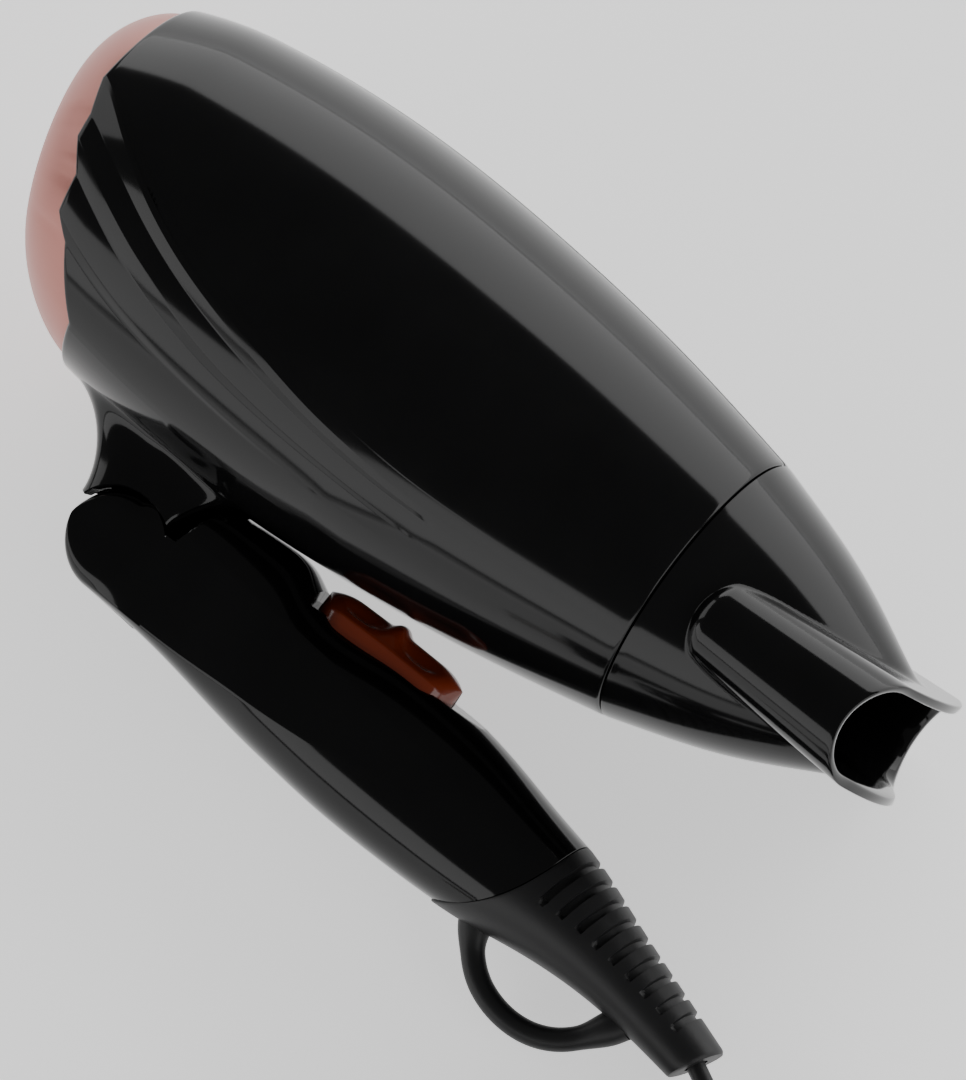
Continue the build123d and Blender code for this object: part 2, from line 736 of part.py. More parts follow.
with BuildPart() as cord_coil:
    with BuildSketch(Plane(origin=(*coil_centre, coil_base_z), x_dir=(1, 0, 0), z_dir=(0, -1, 0))):
        with Locations((coil_middle_r, coil_height / 2)):
            RectangleRounded(coil_width, coil_height, lead_d / 2 - 0.05)
    revolve(axis=Axis((*coil_centre, 0), (0, 0, 1)))
write(cord_coil, "cord_coil")

tie_plane = Plane(
    origin=(coil_centre[0], coil_centre[1], coil_base_z + coil_height / 2),
    x_dir=(cos(radians(tie_angle)), sin(radians(tie_angle)), 0),
    z_dir=(-sin(radians(tie_angle)), cos(radians(tie_angle)), 0),
)
with BuildPart() as cord_tie:
    with BuildSketch(tie_plane):
        with Locations((coil_middle_r, 0)):
            RectangleRounded(coil_width + 2.4, coil_height + 2 * tie_t, 3)
            RectangleRounded(coil_width + 0.8, coil_height + 0.04, 2.4, mode=Mode.SUBTRACT)
    extrude(amount=tie_width / 2, both=True)
write(cord_tie, "cord_tie")

plug_axis = Plane(origin=plug_entry, x_dir=(0, -1, 0), z_dir=(-1, 0, 0))
with BuildPart() as plug_body:
    with BuildSketch(plug_axis):
        Circle(plug_neck_r)
    with BuildSketch(plug_axis.offset(14)):
        Circle(plug_neck_r + 1.5)
    loft()
    with BuildSketch(plug_axis.offset(14)):
        RectangleRounded(20, 14, 6)
    with BuildSketch(plug_axis.offset(24)):
        RectangleRounded(plug_width, plug_height, 11)
    loft()
    with BuildSketch(plug_axis.offset(24)):
        RectangleRounded(plug_width, plug_height, 11)
    extrude(amount=plug_length - 24)
    fillet(plug_body.faces().sort_by(Axis.X)[0].edges(), 1.5)
    with BuildSketch(plug_axis.offset(plug_length)):
        with GridLocations(plug_pin_pitch, 1, 2, 1):
            Circle(plug_root_r)
    extrude(amount=-plug_root_depth, mode=Mode.SUBTRACT)
    with BuildSketch(plug_axis.offset(plug_length)):
        with GridLocations(plug_pin_pitch, 1, 2, 1):
            Circle(plug_well_r)
    extrude(amount=-plug_well_depth, mode=Mode.SUBTRACT)
write(plug_body, "plug_body")

with BuildPart() as plug_pins:
    with BuildSketch(plug_axis.offset(plug_length - plug_root_depth + 0.1)):
        with GridLocations(plug_pin_pitch, 1, 2, 1):
            Circle(plug_root_r)
    extrude(amount=plug_root_depth)
    with BuildSketch(plug_axis.offset(plug_length - plug_well_depth + 0.05)):
        with GridLocations(plug_pin_pitch, 1, 2, 1):
            Circle(plug_pin_r)
    extrude(amount=plug_pin_length + plug_well_depth - 0.05)
    fillet(plug_pins.faces().sort_by(Axis.X)[:2].edges(), 1.2)
write(plug_pins, "plug_pins")
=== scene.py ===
"""Looks of the folding travel hair dryer. Lengths in the dryer's own frame are millimetres: +X towards
the air outlet, +Z away from the handle, y = 0 the parting plane, the origin at the nozzle seam."""

import json
from math import cos, pi, radians, sin, sqrt, tan

import bmesh
import bpy
import numpy as np
from mathutils import Matrix, Vector


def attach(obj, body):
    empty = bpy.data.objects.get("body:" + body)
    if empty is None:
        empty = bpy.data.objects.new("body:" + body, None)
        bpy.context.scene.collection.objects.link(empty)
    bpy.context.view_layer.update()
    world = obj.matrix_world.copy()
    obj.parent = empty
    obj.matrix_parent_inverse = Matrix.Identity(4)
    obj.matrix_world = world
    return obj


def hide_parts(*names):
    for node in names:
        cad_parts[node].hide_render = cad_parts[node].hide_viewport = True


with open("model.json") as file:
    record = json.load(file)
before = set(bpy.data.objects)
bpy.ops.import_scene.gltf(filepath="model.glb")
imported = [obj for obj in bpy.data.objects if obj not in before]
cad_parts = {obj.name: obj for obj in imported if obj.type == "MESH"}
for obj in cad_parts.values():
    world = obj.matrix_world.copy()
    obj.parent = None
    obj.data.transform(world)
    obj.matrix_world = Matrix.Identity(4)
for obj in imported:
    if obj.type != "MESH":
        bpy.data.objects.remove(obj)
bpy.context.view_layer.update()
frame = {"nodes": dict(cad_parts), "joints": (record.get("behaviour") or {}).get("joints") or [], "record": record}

MM = 0.001
joints = {joint["name"]: joint for joint in frame["joints"]}
dryer_origin = np.array(joints["nozzle_turn"]["pos_m"])
dryer_x = np.array(joints["nozzle_turn"]["axis"])
dryer_y = -np.array(joints["handle_fold"]["axis"])
dryer_axes = np.array([dryer_x, dryer_y, np.cross(dryer_x, dryer_y)])


def placed(points):
    """Points of the dryer's own frame, in millimetres, taken to the row frame in metres."""
    return dryer_origin + np.asarray(points, float) * MM @ dryer_axes


# ---------------------------------------------------------------- camera
view_centre = Vector(placed((-41.6, 0, -17.3)))
to_camera = Vector((0.28129, -0.24795, 0.92704)).normalized()
camera_right = Vector((0.77782, 0.62470, -0.06892)).normalized()
camera_up = to_camera.cross(camera_right).normalized()
camera_distance = 3.2
camera_data = bpy.data.cameras.new("camera")
camera_data.sensor_fit = "AUTO"
camera_data.sensor_width = 36
camera_data.lens = 533
camera_data.clip_end = 20
camera = bpy.data.objects.new("camera", camera_data)
camera.matrix_world = Matrix.Translation(view_centre + to_camera * camera_distance) @ Matrix(
    (camera_right, camera_up, to_camera)
).transposed().to_4x4()
bpy.context.scene.collection.objects.link(camera)
bpy.context.scene.camera = camera

# ---------------------------------------------------------------- lead: one line from the dryer to the plug
LEAD_D = 5.6
LEAD_FLAT = 4.3
SLEEVE_END = (56.3, 0, -76.2)
SLEEVE_END_ANGLE = -27.5
LEAD_POINTS = [(118.2, -53.4, 5.5), (129.4, -59.0, 3.8), (140.5, -65.0, 3.65), (151.5, -73.8, 3.6)]
COIL_CENTRE = (122.0, -102.0)
COIL_RADII = [40.8, 35.2, 29.6, 24.0]
COIL_LOW = 3.65
COIL_HIGH = 9.25
COIL_STEPS = 20
TAIL_POINTS = [(136.0, -140.3, 9.2), (122.0, -142.5, 9.3), (108.8, -142.4, 11.2), (96.3, -142.4, 13.0)]
START_ANGLE = 25.7
END_ANGLE = -52.0
TURN_STAYS = 0.72           # share of each turn that keeps its radius and height
LEAD_STRAIGHT = 7.0         # straight run where the lead leaves the dryer


def lead_route():
    """Where the lead leaves the dryer, and the lead's control points: millimetres in the row frame."""
    exit_point = placed(SLEEVE_END) / MM
    down = radians(SLEEVE_END_ANGLE)
    heading = dryer_axes.T @ np.array((cos(down), 0, sin(down)))
    route = [tuple(exit_point), tuple(exit_point + LEAD_STRAIGHT * heading)] + LEAD_POINTS
    turns = []
    for layer, radii in ((COIL_LOW, COIL_RADII), (COIL_HIGH, COIL_RADII[::-1])):
        for radius in radii:
            turns.append((radius, layer))
    total = 360.0 * (len(turns) - 1) + START_ANGLE - END_ANGLE
    gone = 0.0
    while gone <= total:
        place = gone / 360.0
        low = min(int(place), len(turns) - 1)
        high = min(low + 1, len(turns) - 1)
        share = min(1.0, max(0.0, (place - low - TURN_STAYS) / (1 - TURN_STAYS)))
        share = share * share * (3 - 2 * share)
        radius = turns[low][0] + (turns[high][0] - turns[low][0]) * share
        height = turns[low][1] + (turns[high][1] - turns[low][1]) * share
        now = radians(START_ANGLE - gone)
        route.append((COIL_CENTRE[0] + radius * cos(now), COIL_CENTRE[1] + radius * sin(now), height))
        gone += 360.0 / COIL_STEPS
    route += TAIL_POINTS
    return exit_point, route


lead_exit, lead_points = lead_route()
lead_line = bpy.data.curves.new("lead_line", "CURVE")
lead_line.dimensions = "3D"
lead_spline = lead_line.splines.new("NURBS")
lead_spline.points.add(len(lead_points) - 1)
for lead_knot, lead_point in zip(lead_spline.points, lead_points):
    lead_knot.co = (*(c * MM for c in lead_point), 1)
lead_spline.order_u = 3
lead_spline.use_endpoint_u = True
lead_spline.resolution_u = 6
lead_line_object = bpy.data.objects.new("lead_line", lead_line)
bpy.context.scene.collection.objects.link(lead_line_object)
bpy.context.view_layer.update()
lead_mesh = bpy.data.meshes.new_from_object(lead_line_object)
lead_path = np.array([v.co for v in lead_mesh.vertices]) / MM
bpy.data.objects.remove(lead_line_object)


# ---------------------------------------------------------------- mesh helpers
class Pieces:
    """Collects grids of points in the dryer's frame and makes them one mesh."""

    def __init__(self):
        self.points = []
        self.faces = []
        self.count = 0

    def grid(self, points, close_rows=False, close_columns=False):
        """Adds a grid of points, and closes it round its rows or its columns where asked."""
        points = np.asarray(points, float)
        rows, columns = points.shape[:2]
        index = np.arange(rows * columns).reshape(rows, columns) + self.count
        if close_rows:
            index = np.vstack([index, index[:1]])
        if close_columns:
            index = np.hstack([index, index[:, :1]])
        a, b, c, d = index[:-1, :-1], index[:-1, 1:], index[1:, 1:], index[1:, :-1]
        self.faces.append(np.stack([corner.ravel() for corner in (a, b, c, d)], axis=1))
        self.points.append(points.reshape(-1, 3))
        self.count += rows * columns
        return self

    def make(self, name, body, material, slot, stands_for=(), sharp=40, row_frame=False, side=1):
        """Makes the mesh, or with side -1 its mirror image, and hangs it on its body."""
        points = np.concatenate(self.points) * (1, side, 1)
        faces = np.concatenate(self.faces)
        data = bpy.data.meshes.new(name)
        data.from_pydata((points * MM if row_frame else placed(points)).tolist(), [], faces.tolist())
        work = bmesh.new()
        work.from_mesh(data)
        bmesh.ops.remove_doubles(work, verts=work.verts, dist=2e-6)
        bmesh.ops.dissolve_degenerate(work, edges=work.edges, dist=1e-6)
        bmesh.ops.recalc_face_normals(work, faces=work.faces)
        work.to_mesh(data)
        work.free()
        data.polygons.foreach_set("use_smooth", [True] * len(data.polygons))
        data.set_sharp_from_angle(angle=radians(sharp))
        made = bpy.data.objects.new(name, data)
        bpy.context.scene.collection.objects.link(made)
        made.data.materials.append(material)
        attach(made, body)
        if stands_for:
            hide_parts(*stands_for)
        return made


def smooth_curve(places, values):
    """A natural cubic spline through the given values."""
    x, y = np.asarray(places, float), np.asarray(values, float)
    n, h = len(x), np.diff(x)
    a, b = np.eye(n), np.zeros(n)
    for i in range(1, n - 1):
        a[i, i - 1:i + 2] = h[i - 1], 2 * (h[i - 1] + h[i]), h[i]
        b[i] = 6 * ((y[i + 1] - y[i]) / h[i] - (y[i] - y[i - 1]) / h[i - 1])
    bend = np.linalg.solve(a, b)

    def value(at):
        at = np.clip(np.asarray(at, float), x[0], x[-1])
        i = np.clip(np.searchsorted(x, at) - 1, 0, n - 2)
        before, after, run = x[i + 1] - at, at - x[i], h[i]
        return (
            (bend[i] * before**3 + bend[i + 1] * after**3) / (6 * run)
            + (y[i] / run - bend[i] * run / 6) * before
            + (y[i + 1] / run - bend[i + 1] * run / 6) * after
        )

    return value


def ease(x, low, high):
    """0 below low and 1 above high, with a smooth run between."""
    share = np.clip((np.asarray(x, float) - low) / (high - low), 0, 1)
    return share * share * (3 - 2 * share)


def between(low, high, count, end_share=0.0):
    """count steps from low up to, and without, high; with end_share the first and last step are short."""
    shares = list(np.linspace(0, 1, count + 1)[:-1])
    if end_share:
        shares = [0.0, end_share] + list(np.linspace(0, 1, count + 1)[1:-1]) + [1 - end_share]
    return [low + (high - low) * share for share in shares]


def bridge(start, start_way, end, end_way, count):
    """count steps of a smooth run from start to end, with the directions it leaves and arrives in."""
    return [(2 * share**3 - 3 * share**2 + 1) * start + (share**3 - 2 * share**2 + share) * start_way
            + (3 * share**2 - 2 * share**3) * end + (share**3 - share**2) * end_way
            for share in np.linspace(0, 1, count)]


# ---------------------------------------------------------------- materials
def node_material(name, colour, second, roughness, rough_spread=0.04, metallic=0.0, scale=60.0, bump=0.0,
                  bump_scale=900.0, shine=0.5, stretch=(1, 1, 1)):
    """A finish that wanders softly between two colours and in its gloss, with an optional fine grain."""
    made = bpy.data.materials.new(name)
    made.use_nodes = True
    tree = made.node_tree
    surface = tree.nodes["Principled BSDF"]
    surface.inputs["Metallic"].default_value = metallic
    surface.inputs["Specular IOR Level"].default_value = shine
    place = tree.nodes.new("ShaderNodeTexCoord")
    turn = tree.nodes.new("ShaderNodeMapping")
    turn.inputs["Scale"].default_value = stretch
    tree.links.new(place.outputs["Object"], turn.inputs["Vector"])
    cloud = tree.nodes.new("ShaderNodeTexNoise")
    cloud.inputs["Scale"].default_value = scale
    cloud.inputs["Detail"].default_value = 4
    tree.links.new(turn.outputs["Vector"], cloud.inputs["Vector"])
    mix = tree.nodes.new("ShaderNodeMix")
    mix.data_type = "RGBA"
    mix.inputs["A"].default_value = (*colour, 1)
    mix.inputs["B"].default_value = (*second, 1)
    tree.links.new(cloud.outputs["Fac"], mix.inputs["Factor"])
    tree.links.new(mix.outputs["Result"], surface.inputs["Base Color"])
    gloss = tree.nodes.new("ShaderNodeMapRange")
    gloss.inputs["To Min"].default_value = roughness - rough_spread / 2
    gloss.inputs["To Max"].default_value = roughness + rough_spread / 2
    tree.links.new(cloud.outputs["Fac"], gloss.inputs["Value"])
    tree.links.new(gloss.outputs["Result"], surface.inputs["Roughness"])
    if bump:
        grain = tree.nodes.new("ShaderNodeTexNoise")
        grain.inputs["Scale"].default_value = bump_scale
        grain.inputs["Detail"].default_value = 3
        tree.links.new(turn.outputs["Vector"], grain.inputs["Vector"])
        raised = tree.nodes.new("ShaderNodeBump")
        raised.inputs["Strength"].default_value = bump
        raised.inputs["Distance"].default_value = 0.0001
        tree.links.new(grain.outputs["Fac"], raised.inputs["Height"])
        tree.links.new(raised.outputs["Normal"], surface.inputs["Normal"])
    return made


gloss_black = node_material("gloss_black", (0.002, 0.002, 0.0022), (0.005, 0.005, 0.0052), 0.1, 0.03,
                            shine=0.3)
matt_black = node_material("matt_black", (0.008, 0.008, 0.009), (0.014, 0.014, 0.015), 0.42, 0.08,
                           bump=0.15, shine=0.35)
soft_black = node_material("soft_black", (0.006, 0.006, 0.0065), (0.011, 0.011, 0.0115), 0.46, 0.08,
                           bump=0.25, shine=0.35)
rose_gold = node_material("rose_gold", (0.46, 0.175, 0.145), (0.52, 0.215, 0.18), 0.38, 0.05, metallic=0.35)
red_brown = node_material("red_brown", (0.20, 0.024, 0.006), (0.27, 0.04, 0.010), 0.14, 0.03, shine=0.5)
dark_mesh = node_material("dark_mesh", (0.03, 0.03, 0.03), (0.07, 0.07, 0.07), 0.5, 0.1, metallic=0.6)
bright_steel = node_material("bright_steel", (0.55, 0.55, 0.56), (0.7, 0.7, 0.7), 0.28, 0.1, metallic=1.0)
motor_steel = node_material("motor_steel", (0.42, 0.42, 0.43), (0.55, 0.55, 0.55), 0.4, 0.1, metallic=1.0)
grey_plastic = node_material("grey_plastic", (0.05, 0.05, 0.052), (0.08, 0.08, 0.082), 0.5, 0.1)
fan_plastic = node_material("fan_plastic", (0.3, 0.3, 0.31), (0.38, 0.38, 0.39), 0.45, 0.1)
white_plastic = node_material("white_plastic", (0.7, 0.69, 0.66), (0.78, 0.77, 0.74), 0.45, 0.1)
board_green = node_material("board_green", (0.03, 0.16, 0.05), (0.05, 0.24, 0.08), 0.4, 0.1)
mica_tan = node_material("mica_tan", (0.42, 0.36, 0.26), (0.6, 0.52, 0.38), 0.5, 0.2, scale=200)
hot_wire = node_material("hot_wire", (0.25, 0.22, 0.2), (0.4, 0.34, 0.3), 0.4, 0.1, metallic=1.0)
wire_skin = node_material("wire_skin", (0.5, 0.5, 0.48), (0.62, 0.62, 0.6), 0.5, 0.1)
brass = node_material("brass", (0.62, 0.44, 0.16), (0.74, 0.54, 0.22), 0.3, 0.1, metallic=1.0)
capacitor_yellow = node_material("capacitor_yellow", (0.62, 0.46, 0.06), (0.7, 0.54, 0.1), 0.4, 0.1)
nickel = node_material("nickel", (0.62, 0.61, 0.58), (0.75, 0.74, 0.71), 0.22, 0.08, metallic=1.0)
tie_paper = node_material("tie_paper", (0.02, 0.02, 0.02), (0.045, 0.045, 0.045), 0.6, 0.1, bump=0.3)

node_looks = {
    "shell": gloss_black, "nozzle": gloss_black, "rose_gold": rose_gold, "black_plastic": matt_black,
    "steel_mesh": dark_mesh, "screw_steel": bright_steel, "motor_steel": motor_steel,
    "duct_plastic": grey_plastic, "fan_plastic": fan_plastic, "white_plastic": white_plastic,
    "circuit_board": board_green, "mica": mica_tan, "resistance_wire": hot_wire,
    "wire_insulation": wire_skin, "brass": brass, "capacitor_case": capacitor_yellow,
    "switch_plastic": red_brown, "soft_pvc": soft_black, "lead_pvc": soft_black, "tie": tie_paper,
    "plug_pvc": soft_black, "nickel": nickel,
}
for row in frame["record"]["materials"]:
    for node in row.get("nodes", []):
        cad_mesh = frame["nodes"][node].data
        cad_mesh.materials.clear()
        cad_mesh.materials.append(node_looks[row["slot"]])

# ---------------------------------------------------------------- barrel
SEAM_GAP = 0.15
barrel_radius = smooth_curve((-158, -133, -97.6, -61.7, -31, 0), (34.8, 39.4, 42.2, 40.5, 36.8, 30.9))
REAR_X = -143.6
REAR_SLANT = radians(16.7)
# curves drawn along the barrel's side: (x, degrees round from the top), and x at the shell's rear edge
CREASES = [
    ([(-158, 60), (-153.1, 64.6), (-143.5, 75.1), (-134.6, 84.0), (-117.7, 95.8), (-101.3, 102.9),
      (-89.2, 107.2), (-77.1, 111.2), (-65.2, 114.0), (-53.3, 116.0), (-37.9, 117.0), (0, 118)], -153.1),
    ([(-158, 71), (-150.3, 77.3), (-134.5, 89.7), (-117.8, 100.0), (-101.6, 106.6), (-85.6, 111.4),
      (-65, 115.8), (-45, 118.0), (0, 119.5)], -150.3),
    ([(-158, 78), (-149.6, 86.0), (-134.7, 97.5), (-126.3, 103), (-118.1, 107.4), (-110.1, 111.3),
      (-101.9, 114.4), (-94, 116.8), (-78, 120.3), (-52, 124.2), (0, 127)], -149.6),
    ([(-158, 86), (-145.2, 96.6), (-126.6, 108.7), (-110.3, 115.6), (-94.2, 119.6), (-78, 122.2),
      (-52, 125.2), (0, 128.2)], -145.2),
    ([(-158, 100), (-144.2, 110.3), (-127.4, 119.7), (-111, 124.6), (-94.9, 127.8), (-78.7, 129.9),
      (0, 134)], -144.2),
    ([(-158, 108), (-139.8, 117.7), (-127.5, 122.6), (-111.3, 126.6), (-94.9, 129.0), (-78.7, 130.8),
      (0, 135)], -139.8),
    ([(-158, 138), (-131.4, 141.1), (0, 146)], -131.4),
]
crease_angles = [smooth_curve(*zip(*points)) for points, _ in CREASES]
# the following lists run over the top, each crease and the bottom: x at the shell's rear edge, depth of
# the skin below the plain barrel at the deepest place, and x where that depth has run out
edge_x = [-153.3] + [x for _, x in CREASES] + [-132.5]
CREASE_DEPTHS = [0.0, 0.0, 1.35, 1.45, 2.35, 2.45, 2.95, 1.5, 0.0]
CREASE_TIPS = [-40.0, -40.0, -42.0, -46.0, -48.0, -66.0, -68.0, -60.0, -60.0]
CREASE_DEEPEST_X = -146.0
ROW_COUNTS = [46, 7, 11, 7, 11, 5, 10, 18]      # rows of the mesh between two neighbours of those lists
COLUMN_COUNT = 132
COLUMN_SPACING = 1.12       # above 1 the columns lie closer together near the rear
# the shell's rear end curves in behind SHOULDER_X
SHOULDER_X = -137.0
SHOULDER_RUN = 17.0
SHOULDER_DEPTH = 1.9
# the skin's turned-in ends: (distance in from the end, depth below the skin)
REAR_LIP = [(6.0, 2.0), (0.6, 1.9), (0.0, 1.5), (0.0, 0.75), (0.06, 0.45), (0.2, 0.2), (0.45, 0.06),
            (0.8, 0.0)]
FRONT_LIP = [(0.8, 0.0), (0.4, 0.06), (0.15, 0.2), (0.0, 0.5), (0.0, 2.0), (2.5, 2.1)]
# the parting line's fine groove: (depth below the skin, distance from the parting plane)
PARTING_LIP = [(0.5, 0.05), (0.12, 0.05), (0.0, 0.18)]


def crease_depth(which, x):
    """How far the skin lies below the plain barrel along one crease."""
    tip = CREASE_TIPS[which]
    share = np.clip((tip - x) / (tip - CREASE_DEEPEST_X), 0, 1)
    shoulder = np.clip((SHOULDER_X - x) / SHOULDER_RUN, 0, 1.2)
    return CREASE_DEPTHS[which] * share**0.85 + SHOULDER_DEPTH * shoulder**2


def skin_drop(x, degrees):
    """How far the skin lies below the plain barrel at x and an angle round from the top."""
    at = [0.0] + [float(curve(x)) for curve in crease_angles] + [180.0]
    return float(np.interp(abs(degrees), at, [float(crease_depth(k, x)) for k in range(len(at))]))


def barrel_point(x, angle, drop):
    """Points at x and an angle round from the top, drop below the plain barrel."""
    radius = barrel_radius(x) - drop
    return np.stack([x, -radius * np.sin(angle), radius * np.cos(angle)], axis=-1)


def barrel_half():
    """The near half of the barrel's skin, with its turned-in edges."""
    lines = [lambda x: np.zeros_like(x)] + crease_angles + [lambda x: np.full_like(x, 180.0)]
    rows = []
    for band, count in enumerate(ROW_COUNTS):
        for share in between(0, 1, count, 0.06):
            rows.append((band, share))
    rows.append((len(ROW_COUNTS) - 1, 1.0))
    body = np.linspace(0, 1, COLUMN_COUNT)[1:-1] ** COLUMN_SPACING
    out = []
    for band, share in rows:
        start = edge_x[band] + (edge_x[band + 1] - edge_x[band]) * share
        first, last = start + REAR_LIP[-1][0], -SEAM_GAP - FRONT_LIP[0][0]
        x = np.array([start + inset for inset, _ in REAR_LIP] + list(first + (last - first) * body)
                     + [-SEAM_GAP - inset for inset, _ in FRONT_LIP])
        sunk = np.array([depth for _, depth in REAR_LIP] + [0.0] * len(body)
                        + [depth for _, depth in FRONT_LIP])
        low, high = lines[band](x), lines[band + 1](x)
        angle = low + (high - low) * share
        drop = crease_depth(band, x) * (1 - share) + crease_depth(band + 1, x) * share
        out.append(barrel_point(x, np.radians(angle), drop + sunk))
    out = np.array(out)
    heads, feet = [], []
    for sunk, gap in PARTING_LIP:
        for source, found in ((out[0], heads), (out[-1], feet)):
            row = source.copy()
            row[:, 1] = -gap
            row[:, 2] -= np.sign(row[:, 2]) * sunk
            found.append(row)
    return np.concatenate([np.array(heads), out[1:-1], np.array(feet[::-1])])


# ---------------------------------------------------------------- neck and hinge tongue
HINGE = (-100.8, -61.6)
KNUCKLE_R = 11.7
# where the neck leaves the barrel
FLARE_MIDDLE_X = -107.0
FLARE_HALF_LONG = 25.0
FLARE_HALF_WIDE = 14.5
# the neck's foot over the knuckle
FOOT_MIDDLE_X = HINGE[0] - 0.9
FOOT_REAR_LONG = 11.7
FOOT_FRONT_LONG = 10.1
FOOT_HALF_WIDE = 13.0
FOOT_GAP = 0.35
FOOT_LEAST_REACH = 5.0
RIM_SHRINK = 0.975
RIM_DROP = 0.25
TONGUE_HALF = 5.4
TONGUE_R = 9.5
TONGUE_ROOT_HALF = 7.2
TONGUE_ROOT_Z = -46.0


def neck_half():
    """The near half of the fairing that carries the hinge: flared on the barrel, square at its foot."""
    around = np.linspace(0, pi, 61)
    c, s = np.cos(around), np.sin(around)
    flare_x = FLARE_MIDDLE_X - FLARE_HALF_LONG * c
    flare_y = -FLARE_HALF_WIDE * s**0.48
    plain_r = barrel_radius(flare_x)
    plain_z = -np.sqrt(np.maximum(plain_r**2 - flare_y**2, 1))
    turned = np.degrees(np.arctan2(-flare_y, plain_z))
    sunk = np.array([skin_drop(x, degrees) for x, degrees in zip(flare_x, turned)])
    flare_z = -np.sqrt(np.maximum((plain_r - sunk) ** 2 - flare_y**2, 1))

    foot_long = np.where(around < pi / 2, FOOT_REAR_LONG, FOOT_FRONT_LONG)
    foot_x = FOOT_MIDDLE_X - foot_long * np.sign(c) * np.abs(c) ** 0.5
    foot_y = -FOOT_HALF_WIDE * s**0.42
    reach_squared = (KNUCKLE_R + FOOT_GAP) ** 2 - (foot_x - HINGE[0]) ** 2
    foot_z = HINGE[1] + np.sqrt(np.maximum(reach_squared, FOOT_LEAST_REACH**2))

    start = np.stack([flare_x, flare_y, flare_z], axis=1)
    end = np.stack([foot_x, foot_y, foot_z], axis=1)
    inward = end - start
    size = np.linalg.norm(inward, axis=1)[:, None]
    normal = np.stack([np.zeros_like(flare_x), flare_y, flare_z], axis=1)
    normal /= np.linalg.norm(normal, axis=1)[:, None]
    along_skin = inward - (inward * normal).sum(1)[:, None] * normal
    along_skin /= np.maximum(np.linalg.norm(along_skin, axis=1), 1e-6)[:, None]
    lean = (0.95 + 0.25 * c)[:, None]
    # the fairing starts hidden inside the barrel's skin and leaves it along the skin
    start = start - normal * 0.05
    loops = [start - normal * 1.5 - along_skin * 2]
    loops += bridge(start, along_skin * size * lean, end, np.array((0, 0, -0.8)) * size, 22)

    rim = end.copy()
    rim[:, 0] = FOOT_MIDDLE_X + (rim[:, 0] - FOOT_MIDDLE_X) * RIM_SHRINK
    rim[:, 1] *= RIM_SHRINK
    rim[:, 2] -= RIM_DROP
    floor = rim.copy()
    floor[:, 1] = np.minimum(-0.02, np.maximum(floor[:, 1], -TONGUE_HALF))
    loops = np.array(loops + [rim, floor])
    loops[:, :, 1] = np.minimum(loops[:, :, 1], -0.05)
    return loops


def tongue_half():
    """The near half of the hinge tongue: a round end that runs up into the neck."""
    outline = []
    for turn in np.linspace(-200, 20, 45):
        a = radians(turn)
        outline.append((HINGE[0] + TONGUE_R * cos(a), HINGE[1] + TONGUE_R * sin(a)))
    outline += [(HINGE[0] + side * TONGUE_ROOT_HALF, TONGUE_ROOT_Z) for side in (1, -1)]
    outline = np.array(outline)
    middle = np.array([HINGE[0], HINGE[1] + 2])
    rows = []
    for shrink, depth in ((0.0, TONGUE_HALF), (0.94, TONGUE_HALF), (0.985, TONGUE_HALF - 0.2),
                          (1.0, TONGUE_HALF - 0.6), (1.0, 0.02)):
        flat = middle + (outline - middle) * shrink
        rows.append(np.stack([flat[:, 0], np.full(len(flat), -depth), flat[:, 1]], axis=1))
    return np.array(rows)


for shell, side in (("right", 1), ("left", -1)):
    half = Pieces()
    half.grid(barrel_half())
    half.grid(neck_half())
    half.grid(tongue_half(), close_columns=True)
    half.make(f"barrel_skin_{shell}", "barrel", gloss_black, "shell", [f"barrel_shell_{shell}"], sharp=50,
              side=side)


# ---------------------------------------------------------------- rear cover
COVER_OPENING_R = 23.5
COVER_DEPTH = 14.0
COVER_ARRIVES = (0.93, 0.37)        # the dome's direction at the opening: inwards and rearwards
# the dome's edge under the shell: (distance in front of the shell's end, depth below its skin)
COVER_SKIRT = [(12, 3.0), (7, 1.9), (3, 1.5), (1, 1.4)]
# the rounded rim of the opening: (distance in towards the middle, distance forward)
COVER_RIM = [(0.45, 0.1), (0.75, 0.5), (0.8, 2.4)]
rear_out = np.array((-cos(REAR_SLANT), 0, -sin(REAR_SLANT)))
rear_up = np.array((-sin(REAR_SLANT), 0, cos(REAR_SLANT)))
rim_centre = np.array((REAR_X, 0, 0)) + COVER_DEPTH * rear_out


def cover():
    """A smooth dome from under the shell's rear edge to the intake opening."""
    rows = []
    for degrees in np.linspace(-180, 180, 181)[:-1]:
        a = radians(degrees)
        side = np.array((0, -1, 0)) * sin(a) + rear_up * cos(a)
        rim = rim_centre + COVER_OPENING_R * side
        plane_x = REAR_X - float(barrel_radius(REAR_X)) * cos(a) * tan(REAR_SLANT)
        radial = np.array((0, -sin(a), cos(a)))
        row = []
        for ahead, sunk in COVER_SKIRT:
            x = plane_x + ahead
            radius = float(barrel_radius(x)) - skin_drop(x, degrees) - sunk
            row.append(np.array((x, 0, 0)) + radius * radial)
        slope = row[-1] - row[-2]
        slope /= np.linalg.norm(slope)
        start = row.pop()
        size = np.linalg.norm(rim - start)
        inwards = -side * COVER_ARRIVES[0] + rear_out * COVER_ARRIVES[1]
        row += bridge(start, slope * size * 0.95, rim, inwards * size, 26)
        row += [rim - side * inset - rear_out * forward for inset, forward in COVER_RIM]
        rows.append(row)
    return np.array(rows)


Pieces().grid(cover(), close_rows=True).make("rear_dome", "barrel", rose_gold, "rose_gold", ["rear_cover"])


# ---------------------------------------------------------------- nozzle
NOZZLE_REAR_R = 30.9
cone_radius = smooth_curve((0, 10.3, 20.6, 30.8, 41, 48, 62),
                           (NOZZLE_REAR_R, 27.8, 24.4, 20.1, 15.0, 11.6, 6.0))
NOZZLE_WALL = 2.0
SPIGOT_X = -5.5
SPIGOT_R = 28.2
BORE_R = 26.6
